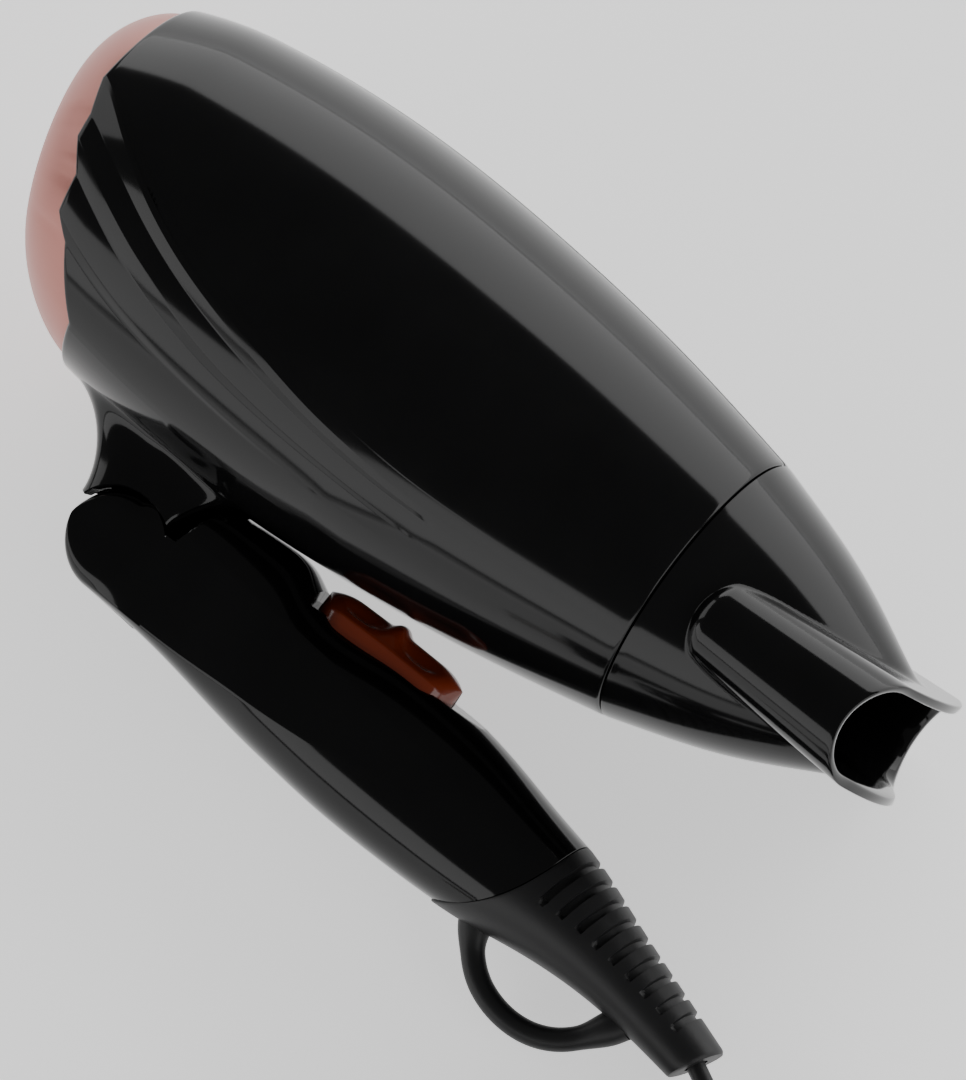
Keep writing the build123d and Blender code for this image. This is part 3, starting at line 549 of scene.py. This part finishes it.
# from the rear inner edge over the spigot to the seam: (x, radius)
SPIGOT = [(SPIGOT_X, BORE_R), (SPIGOT_X, SPIGOT_R), (-0.3, SPIGOT_R), (SEAM_GAP, SPIGOT_R + 0.4),
          (SEAM_GAP, NOZZLE_REAR_R - 0.5), (SEAM_GAP + 0.12, NOZZLE_REAR_R - 0.15)]
SPOUT_START = 8.2
SPOUT_START_RUN = 4.6       # length of its rounded start
# the spout's half sizes at x = 0, what they gain per mm, and how much less its rear tip has
SPOUT_HALF_WIDE = 29.98
SPOUT_WIDENS = 0.09
SPOUT_TIP_NARROWER = 4.5
SPOUT_HALF_HIGH = 8.62
SPOUT_GROWS_HIGHER = 0.065
SPOUT_TIP_LOWER = 8.4
FILLET = 0.9
MOUTH_ARC_R = 68.6
MOUTH_X = 56.5
MOUTH_WIDE_AT = 53.0        # where the mouth's arc takes its width
# the mouth's rounded lip: (distance in from the mouth, depth below the skin)
MOUTH_LIP = [(0.35, 0.06), (0.12, 0.2), (0.0, 0.5), (0.0, NOZZLE_WALL - 0.5), (0.12, NOZZLE_WALL - 0.2),
             (0.4, NOZZLE_WALL)]
INNER_END_X = 3.0


def spout_start(x):
    """1 at the spout's rear tip and before it, 0 past its rounded start."""
    share = np.clip((SPOUT_START + SPOUT_START_RUN - x) / SPOUT_START_RUN, 0, 1)
    return 1 - np.sqrt(1 - share**2)


def spout_half_width(x):
    """Half of the spout's long side across the nozzle, at x."""
    return SPOUT_HALF_WIDE + SPOUT_WIDENS * x - SPOUT_TIP_NARROWER * spout_start(x)


def spout_half_height(x):
    """Half of the spout's flat side, at x."""
    return SPOUT_HALF_HIGH + SPOUT_GROWS_HIGHER * x - SPOUT_TIP_LOWER * spout_start(x)


def spout_reach(x, angle, inset):
    """Distance from the axis to the spout's rounded-flat outline in one direction."""
    w, h = spout_half_width(x) - inset, spout_half_height(x) - inset
    c, s = np.abs(np.cos(angle)), np.abs(np.sin(angle))
    flat = h / np.maximum(c, 1e-6)
    centre = w - h
    inside = flat * s <= centre
    b = centre * s
    round_end = b + np.sqrt(np.maximum(b * b - centre**2 + h * h, 0))
    return np.where(inside, flat, round_end)


def nozzle_reach(x, angle, inset=0.0):
    """Cone and spout run together, with a small hollow between them."""
    one = cone_radius(x) - inset
    two = spout_reach(x, angle, inset)
    apart = np.abs(one - two)
    return np.maximum(one, two) + np.maximum(FILLET - apart, 0) ** 2 / (4 * FILLET)


def nozzle_point(x, angle, inset=0.0):
    """The point of the nozzle at x in one direction, inset below its skin."""
    reach = float(nozzle_reach(np.float64(x), angle, inset))
    return np.array((x, -reach * sin(angle), reach * cos(angle)))


def nozzle_skin():
    """Rows of the nozzle, each from the spigot over the outside to the mouth and back inside."""
    spout_end = SPOUT_START + SPOUT_START_RUN + 1
    rear_x = np.concatenate([np.linspace(SEAM_GAP + 0.5, SPOUT_START - 0.6, 8),
                             np.linspace(SPOUT_START - 0.3, spout_end, 34)])
    rows = []
    for a in np.linspace(0, 2 * pi, 321)[:-1]:
        mouth_y = float(spout_reach(np.float64(MOUTH_WIDE_AT), a, 0)) * sin(a)
        end = MOUTH_X - MOUTH_ARC_R + sqrt(max(MOUTH_ARC_R**2 - mouth_y**2, 1))
        row = [np.array((x, -r * sin(a), r * cos(a))) for x, r in SPIGOT]
        row += [nozzle_point(x, a) for x in rear_x]
        row += [nozzle_point(x, a) for x in np.linspace(spout_end, end - 0.7, 50)[1:]]
        row += [nozzle_point(end - back, a, inset) for back, inset in MOUTH_LIP]
        inner_x = np.linspace(end - MOUTH_LIP[-1][0], INNER_END_X, 18)
        row += [nozzle_point(x, a, NOZZLE_WALL) for x in inner_x[1:]]
        row.append(np.array((-1.0, -BORE_R * sin(a), BORE_R * cos(a))))
        rows.append(row)
    return np.array(rows)


Pieces().grid(nozzle_skin(), close_rows=True, close_columns=True).make(
    "nozzle_skin", "nozzle", gloss_black, "nozzle", ["nozzle"], sharp=45)

# ---------------------------------------------------------------- handle
SEAM_R = 32.0
SEAM_CENTRE = (-19.6, -52.0)
EAR_R = 11.2
EAR_LONG = 10.2
EAR_LIFT = 0.6
TONGUE_SLOT_HALF = 6.3
TONGUE_SLOT_END_X = -88.4
# the knob's flat seat
KNOB_HALF = 8.2
SEAT_HALF = KNOB_HALF + 0.5
SEAT_REAR_X = -61.7
SEAT_FRONT_X = -18.7
SEAT_Z = -47.6
# under the neck's foot the handle is cut back: round the knuckle, then level, then up a steep line
CUT_LEVEL_X = -91.9
CUT_LEVEL_Z = -53.3
CUT_RISE_POINT = (-89.7, -53.4)
CUT_RISE_SLOPE = 3.2
# powers of the section's outline, where 2 is an ellipse
SECTION_POWER = 2.15
HINGE_EXTRA_POWER = 3.2
LEVEL_LIMIT = 0.94          # share of the half height that the creases stay within
# the leaf-shaped facet between the creases: how flat it is, and the x where that comes and goes
FACET_FLATNESS = 0.72
FACET_COMES = (-104, -88)
FACET_GOES = (-34, -8.6)
SEAM_LIP_Z = -66.0          # the front edge turns in towards this height on the parting plane
handle_top = smooth_curve((-100.8, -95, -89, -84, -79, -75, -70, -66, -61.1, -40, -26.1, -9.7, 0.6, 14),
                          (-49.9, -46.6, -43.6, -42.4, -41.95, -41.75, -41.7, -42.5, -44.9, -46.0, -46.5,
                           -49.1, -51.6, -54.5))
handle_bottom = smooth_curve((-100.8, -91.6, -81.3, -71, -60.7, -50.4, -40, -29.8, -19.5, -9.3, 14),
                             (-72.2, -72.9, -74.2, -76.2, -78.1, -79.4, -80.5, -81.1, -81.3, -81.2, -79.6))
handle_half_width = smooth_curve((-112.5, -100.8, -88, -75, -58, -40, -22, -8, 14),
                                 (13.0, 13.0, 14.2, 15.6, 16.0, 15.6, 14.8, 14.0, 13.0))
upper_crease = smooth_curve((-112.5, -96.2, -81, -66.6, -37, -8.6, 14),
                            (-52.0, -50.6, -51.2, -52.4, -55.6, -59.0, -60.5))
lower_crease = smooth_curve((-112.5, -96, -80, -63.7, -46, -29.6, -13.1, -8.6, 14),
                            (-70.5, -71.2, -71.6, -70.8, -69.2, -66.5, -62.5, -60.2, -62.0))


def handle_edges(x):
    """(top, bottom) of the handle's outline at x."""
    circle = EAR_R * np.sqrt(np.maximum(1 - ((x - HINGE[0]) / EAR_LONG) ** 2, 1e-5))
    top = np.where(x < HINGE[0], HINGE[1] + circle + EAR_LIFT, handle_top(x))
    bottom = np.where(x < HINGE[0], HINGE[1] - circle + EAR_LIFT, handle_bottom(x))
    return top, bottom


def neck_room(x):
    """The highest that the handle may reach at x, under the neck's foot."""
    circle = np.sqrt(np.maximum(KNUCKLE_R**2 - (x - HINGE[0]) ** 2, 0.01))
    rise = CUT_RISE_POINT[1] + (x - CUT_RISE_POINT[0]) * CUT_RISE_SLOPE
    return np.where(x < CUT_LEVEL_X, HINGE[1] + circle, np.maximum(rise, CUT_LEVEL_Z))


def handle_row(band, share, x):
    """Points of one lengthwise row of the near half, for the given x of its columns."""
    top, bottom = handle_edges(x)
    middle, half = (top + bottom) / 2, (top - bottom) / 2
    width = handle_half_width(x)
    power = SECTION_POWER + HINGE_EXTRA_POWER * (1 - ease(x, -112, -60))

    def angle_of(z):
        level = np.clip((z - middle) / half, -LEVEL_LIMIT, LEVEL_LIMIT)
        return np.arccos(np.sign(level) * np.abs(level) ** (power / 2))

    def point(angle):
        c = np.cos(angle)
        return (width * np.sin(angle) ** (2 / power),
                middle + half * np.sign(c) * np.abs(c) ** (2 / power))

    upper = angle_of(upper_crease(x))
    lower = np.maximum(angle_of(lower_crease(x)), upper + 0.03)
    marks = [np.zeros_like(x), upper, lower, np.full_like(x, pi)]
    angle = marks[band] + (marks[band + 1] - marks[band]) * share
    y, z = point(np.clip(angle, 0, pi))
    if band == 1:
        y0, z0 = point(upper)
        y1, z1 = point(lower)
        flat = FACET_FLATNESS * ease(x, *FACET_COMES) * (1 - 0.9 * ease(x, *FACET_GOES))
        y = y + (y0 + (y1 - y0) * share - y) * flat
        z = z + (z0 + (z1 - z0) * share - z) * flat
    return -y, z


def handle_half():
    """The near half of the handle's skin, from the ear to the seam, where its edge turns in."""
    # columns round the ear, under the neck's foot, over the facet and across the knob's seat
    fixed = np.concatenate([
        HINGE[0] - EAR_LONG * np.cos(np.linspace(0, pi / 2, 26)) * 0.9999,
        np.linspace(-100, -93, 12), np.linspace(-92.4, -86, 22), np.linspace(-85, -62.4, 30),
        [-61.75, -61.6], np.linspace(-60, -20, 46), [-18.8, -18.65, -17.5, -16],
    ])
    stretch = np.linspace(0, 1, 26)[1:]
    rows = []
    plan = [(0, s) for s in between(0, 1, 30, 0.03)] + [(1, s) for s in between(0, 1, 26, 0.03)]
    plan += [(2, s) for s in between(0, 1, 26, 0.03)] + [(2, 1.0)]
    for band, share in plan:
        x = np.concatenate([fixed, fixed[-1] + stretch * 24])
        # where a row meets the round seam depends on its height there, so this is found in rounds
        for _ in range(4):
            _, z = handle_row(band, share, x)
            seam = SEAM_CENTRE[0] + np.sqrt(SEAM_R**2 - (z[-1] - SEAM_CENTRE[1]) ** 2) - 0.08
            x = np.concatenate([fixed, fixed[-1] + stretch * (seam - fixed[-1])])
        y, z = handle_row(band, share, x)
        gap = np.where(x < TONGUE_SLOT_END_X, TONGUE_SLOT_HALF, 0.05)
        y = np.minimum(y, -gap)
        z = np.minimum(z, neck_room(x))
        seat = (x > SEAT_REAR_X) & (x < SEAT_FRONT_X) & (np.abs(y) < SEAT_HALF) & (z > SEAT_Z)
        z = np.where(seat, SEAT_Z, z)
        row = np.stack([x, y, z], axis=1)
        edge = row[-1]
        centre = np.array((edge[0], 0, SEAM_LIP_Z))
        inward = (centre - edge) / np.linalg.norm(centre - edge)
        lip = [edge + inward * depth + np.array((0.1, 0, 0)) for depth in (0.12, 1.6)]
        rows.append(np.vstack([row, lip]))
    return np.array(rows)


def handle_slot_wall(skin):
    """The flat of the ear that faces the tongue, and the end of the slot."""
    columns = int((skin[0, :, 0] < TONGUE_SLOT_END_X).sum()) + 1
    top, bottom = skin[0, :columns], skin[-1, :columns]
    return np.array([top + (bottom - top) * share for share in np.linspace(0, 1, 8)])


for shell, side in (("right", 1), ("left", -1)):
    skin = handle_half()
    half = Pieces()
    half.grid(skin)
    half.grid(handle_slot_wall(skin))
    half.make(f"handle_skin_{shell}", "handle", gloss_black, "shell", [f"handle_shell_{shell}"], sharp=38,
              side=side)

# ---------------------------------------------------------------- switch knob
KNOB_REAR = -60.7
KNOB_LENGTH = 33.9
KNOB_TOP = -41.8
KNOB_BASE = -48.9
KNOB_END = 7.5
BAR_X = -44.0
BAR_HEIGHT = 1.3
BAR_HALF_LONG = 1.75
SCOOP_PLACES = (-51.4, -36.6)
SCOOP_DEPTH = 1.5
SCOOP_HALF_LONG = 4.6
END_FALL = 1.9              # how far the crown falls over its rounded ends
FRONT_SLOPE = 0.035         # its fall per mm from the bar to the front
SIDE_FALL = 3.0             # its fall from the middle to the sides
# the sides of the knob: (share of the half width, distance below the crown's side)
KNOB_UPPER_SIDE = ((0.94, 0.4), (0.975, 1.0), (0.99, 1.9), (1.0, 3.4))
# and (share of the half width, height above the base)
KNOB_LOWER_SIDE = ((1.01, 0.25), (1.0, 0.05), (0.96, 0.0), (0.6, 0.0))


def knob():
    """A long button with a raised bar across it and a thumb scoop on each side of the bar."""
    front = KNOB_REAR + KNOB_LENGTH
    shares = 0.5 - 0.5 * np.cos(np.linspace(0, pi, 90))
    x = KNOB_REAR + KNOB_LENGTH * shares
    x[0] += 0.05
    x[-1] -= 0.05
    end = np.minimum(x - KNOB_REAR, front - x)
    share = np.clip(end / KNOB_END, 0, 1)
    width = KNOB_HALF * np.sqrt(np.maximum(1 - (1 - share) ** 2.2, 0))
    crown = KNOB_TOP - END_FALL * (1 - share) ** 2.4 - FRONT_SLOPE * np.maximum(x - BAR_X, 0)
    bar = BAR_HEIGHT * np.exp(-np.abs((x - BAR_X) / BAR_HALF_LONG) ** 2.6)
    scoops = sum(SCOOP_DEPTH * np.exp(-np.abs((x - place) / SCOOP_HALF_LONG) ** 3)
                 for place in SCOOP_PLACES)
    rows = []
    base = KNOB_BASE + 0.6 * np.clip(1 - end / 3.0, 0, 1)
    for across in np.linspace(-1, 1, 57):
        hollow = np.exp(-((abs(across) - 0.58) / 0.3) ** 2)
        fall = SIDE_FALL * abs(across) ** 2.4
        top = crown - fall + bar * (1 - abs(across) ** 3) - scoops * hollow
        rows.append(np.stack([x, across * width * 0.9, top], axis=1))
    near_side, far_side = [], []
    for out, drop in KNOB_UPPER_SIDE:
        for edge, found in ((-1, near_side), (1, far_side)):
            lower = np.maximum(crown - SIDE_FALL - 0.75 * drop, base + 0.3)
            found.append(np.stack([x, edge * width * out, lower], axis=1))
    for out, rise in KNOB_LOWER_SIDE:
        for edge, found in ((-1, near_side), (1, far_side)):
            found.append(np.stack([x, edge * width * out, base + rise], axis=1))
    return np.array(near_side[::-1] + rows + far_side)


Pieces().grid(knob()).make("knob_skin", "switch", red_brown, "switch_plastic", ["switch_knob"], sharp=50)

# ---------------------------------------------------------------- moulded end, bend slots and hanging loop
sleeve_top = smooth_curve((-12, 0, 12.2, 30, 45, 60), (-49.6, -51.7, -54.1, -60.4, -65.7, -70.9))
sleeve_bottom = smooth_curve((-12, -8, 1.5, 9.2, 21.5, 35.1, 43.1, 60),
                             (-81.7, -81.6, -81.0, -79.9, -78.7, -78.9, -79.8, -82.4))
sleeve_half_width = smooth_curve((-12, 0, 14, 30, 45, 60), (14.2, 13.6, 13.0, 10.4, 8.0, 6.2))
SLEEVE_POWER = 2 / 2.1
SLEEVE_COLUMNS = 112
SLOT_COUNT = 9
SLOT_FIRST = 16.6
SLOT_LEAN = 0.2             # how far the slots' feet lie behind their heads, per mm of height
SLOT_PITCH = 4.25
SLOT_WIDTH = 1.9
SLOT_DEPTH = 1.3
SLOT_SHALLOWER = 0.3        # share of the depth that is lost towards the last slot
SLOT_REACH = 86.0           # degrees round from the top that the first slot reaches
SLOT_REACH_LOSS = 2.4       # and what each next slot loses of it
SLOT_EDGES = (-1.0, -0.93, -0.55, 0.0, 0.55, 0.93, 1.0)     # columns over a slot, in half widths
SLOT_GAPS = (0.22, 0.5, 0.78)                               # columns over the bar after it
LOOP_R = 2.5
LOOP_REAR_SWELL = 0.55
LOOP_FRONT_SWELL = 0.45
loop_x = smooth_curve(np.linspace(0, 1, 9), (1.8, 3.2, 6.1, 11.2, 18.3, 25.3, 31.2, 35.7, 39.3))
loop_z = smooth_curve(np.linspace(0, 1, 9),
                      (-75.6, -80.6, -85.2, -89.3, -91.4, -90.9, -88.0, -83.3, -78.0))


def sleeve_point(x, angle, sunk=0.0, lean=0.0):
    """A point of the moulded end; lean moves it back the more, the further it lies below the top."""
    c, s = cos(angle), sin(angle)
    x = x - lean * float(sleeve_top(x) - sleeve_bottom(x)) / 2 * (1 - c)
    top, bottom = float(sleeve_top(x)), float(sleeve_bottom(x))
    middle, half = (top + bottom) / 2, (top - bottom) / 2 - sunk
    width = float(sleeve_half_width(x)) - sunk
    y = -width * np.sign(s) * abs(s) ** SLEEVE_POWER
    z = middle + half * np.sign(c) * abs(c) ** SLEEVE_POWER
    return np.array((x, y, z))


def sleeve_skin():
    """Rows of the moulded end, each from the seam over the bend slots to the lead."""
    end_normal = np.array((cos(radians(SLEEVE_END_ANGLE)), sin(radians(SLEEVE_END_ANGLE))))
    rows = []
    for k in range(SLEEVE_COLUMNS):
        angle = 2 * pi * (k / SLEEVE_COLUMNS)
        from_top = min(angle, 2 * pi - angle)

        def at(x, sunk=0.0, lean=0.0):
            return sleeve_point(x, angle, sunk, lean)

        seam = 5.0
        last = 56.0
        for _ in range(4):
            z = at(seam)[2]
            seam = SEAM_CENTRE[0] + sqrt(SEAM_R**2 - (z - SEAM_CENTRE[1]) ** 2) + 0.1
            z = at(last)[2]
            last = SLEEVE_END[0] - (z - SLEEVE_END[2]) * end_normal[1] / end_normal[0]
        first_slot = SLOT_FIRST - SLOT_WIDTH / 2 - 0.4
        row = [at(seam, 1.8), at(seam, 0.35), at(seam + 0.15, 0.08), at(seam + 0.45)]
        before = at(first_slot, 0.0, SLOT_LEAN)[0]
        row += [at(x) for x in np.linspace(seam + 0.9, max(before, seam + 1.0), 16)]
        for slot in range(SLOT_COUNT):
            centre = SLOT_FIRST + slot * SLOT_PITCH
            reach = radians(SLOT_REACH - SLOT_REACH_LOSS * slot)
            radius = float(sleeve_half_width(centre))
            slot_depth = SLOT_DEPTH * (1 - SLOT_SHALLOWER * slot / SLOT_COUNT)
            for edge in SLOT_EDGES:
                limit = reach + sqrt(max(1 - edge * edge, 0)) * SLOT_WIDTH / 2 / radius
                depth = slot_depth * (abs(edge) < 0.99)
                cut = depth * float(1 - ease(from_top, limit - 0.03, limit + 0.03))
                row.append(at(centre + edge * SLOT_WIDTH / 2 * 0.95, cut, SLOT_LEAN))
            for step in SLOT_GAPS:
                row.append(at(centre + SLOT_WIDTH / 2 + step * (SLOT_PITCH - SLOT_WIDTH), 0.0, SLOT_LEAN))
        after = row[-1][0]
        if last - 0.8 > after:
            row += [at(x) for x in np.linspace(after + 0.4, max(last - 0.8, after + 0.5), 4)]
        else:
            row += [at(after + 0.1 * n) for n in range(4)]
        row += [at(last - 0.35, 0.12), at(last, 0.55)]
        tip = np.array(SLEEVE_END)
        edge_point = row[-1]
        row += [edge_point + (tip - edge_point) * share_in for share_in in (0.3, 0.55)]
        rows.append(row)
    return np.array(rows)


def loop_tube():
    """The hanging loop: a round bar bent to a D, thicker where it grows out of the moulding."""
    rows = []
    for share in np.linspace(0, 1, 61):
        here, ahead, behind = [np.array((float(loop_x(place)), float(loop_z(place))))
                               for place in (share, share + 0.01, share - 0.01)]
        along = (ahead - behind) / np.linalg.norm(ahead - behind)
        across = np.array((-along[1], along[0]))
        rear_swell = LOOP_REAR_SWELL * (1 - ease(share, 0.06, 0.26))
        r = LOOP_R * (1 + rear_swell + LOOP_FRONT_SWELL * ease(share, 0.8, 0.96))
        ring = []
        for turn in np.linspace(0, 2 * pi, 25)[:-1]:
            flat = here + across * r * cos(turn)
            ring.append((flat[0], r * sin(turn), flat[1]))
        rows.append(ring)
    return np.array(rows)


Pieces().grid(sleeve_skin(), close_rows=True).grid(loop_tube(), close_columns=True).make(
    "sleeve_skin", "handle", soft_black, "soft_pvc", ["cord_sleeve"], sharp=32)


# ---------------------------------------------------------------- the lead's skin
def tube_along(path, section):
    """Rings of a section carried along a line, kept upright."""
    rings = []
    count = len(path)
    for i in range(count):
        along = path[min(i + 1, count - 1)] - path[max(i - 1, 0)]
        along = along / np.linalg.norm(along)
        side = np.cross(along, (0, 0, 1.0))
        side /= np.linalg.norm(side)
        up = np.cross(side, along)
        rings.append([path[i] + side * a + up * b for a, b in section])
    return np.array(rings)


def twin_section():
    """Two round cores side by side under one skin, standing on edge."""
    points = []
    for turn in np.linspace(0, 2 * pi, 21)[:-1]:
        c, s = cos(turn), sin(turn)
        waist = 1 - 0.1 * abs(c) ** 6
        points.append((LEAD_FLAT / 2 * c * waist, LEAD_D / 2 * np.sign(s) * abs(s) ** 0.8))
    return points


lead_rings = tube_along(lead_path, twin_section())
lead = Pieces().grid(lead_rings, close_columns=True)
lead = lead.make("lead", "handle", soft_black, "lead_pvc", ["cord_run", "cord_coil", "cord_tail"],
                 row_frame=True)

# ---------------------------------------------------------------- floor and light
FLOOR_HALF = 3.0
floor_corners = [(FLOOR_HALF * x, FLOOR_HALF * y, 0) for x, y in ((-1, -1), (1, -1), (1, 1), (-1, 1))]
floor_data = bpy.data.meshes.new("floor")
floor_data.from_pydata(floor_corners, [], [(0, 1, 2, 3)])
floor_top = bpy.data.objects.new("floor", floor_data)
bpy.context.scene.collection.objects.link(floor_top)
floor_look = node_material("floor_look", (0.86, 0.86, 0.86), (0.89, 0.89, 0.89), 0.8, 0.05, scale=3)
floor_surface = floor_look.node_tree.nodes["Principled BSDF"]
floor_surface.inputs["Emission Color"].default_value = (1, 1, 1, 1)
floor_surface.inputs["Emission Strength"].default_value = 0.8
floor_top.data.materials.append(floor_look)

world = bpy.data.worlds.new("world")
world.use_nodes = True
background = world.node_tree.nodes["Background"]
background.inputs["Color"].default_value = (1, 1, 1, 1)
background.inputs["Strength"].default_value = 0.14
bpy.context.scene.world = world


def panel(name, place, aim, width, height, power):
    """A soft rectangular light at a place, turned towards aim."""
    data = bpy.data.lights.new(name, "AREA")
    data.shape = "RECTANGLE"
    data.size, data.size_y, data.energy = width, height, power
    made = bpy.data.objects.new(name, data)
    place, aim = Vector(place), Vector(aim)
    turned = (place - aim).to_track_quat("Z", "Y").to_matrix().to_4x4()
    made.matrix_world = Matrix.Translation(place) @ turned
    bpy.context.scene.collection.objects.link(made)


away = Vector(dryer_axes[2])
flat_away = Vector((away.x, away.y, 0)).normalized()
along_flat = Vector((dryer_x[0], dryer_x[1], 0)).normalized()
centre = Vector((view_centre.x, view_centre.y, 0.03))
panel("far_panel", centre + flat_away * 1.0 + Vector((0, 0, 0.36)), centre, 3.2, 0.78, 23.6)
panel("near_panel", centre - flat_away * 1.0 + Vector((0, 0, 0.26)), centre, 3.2, 0.45, 9.3)
panel("nozzle_panel", centre + along_flat * 1.2 + Vector((0, 0, 0.4)), centre, 0.9, 0.6, 4)
panel("rear_panel", centre - along_flat * 1.2 + Vector((0, 0, 0.4)), centre, 0.9, 0.6, 3)
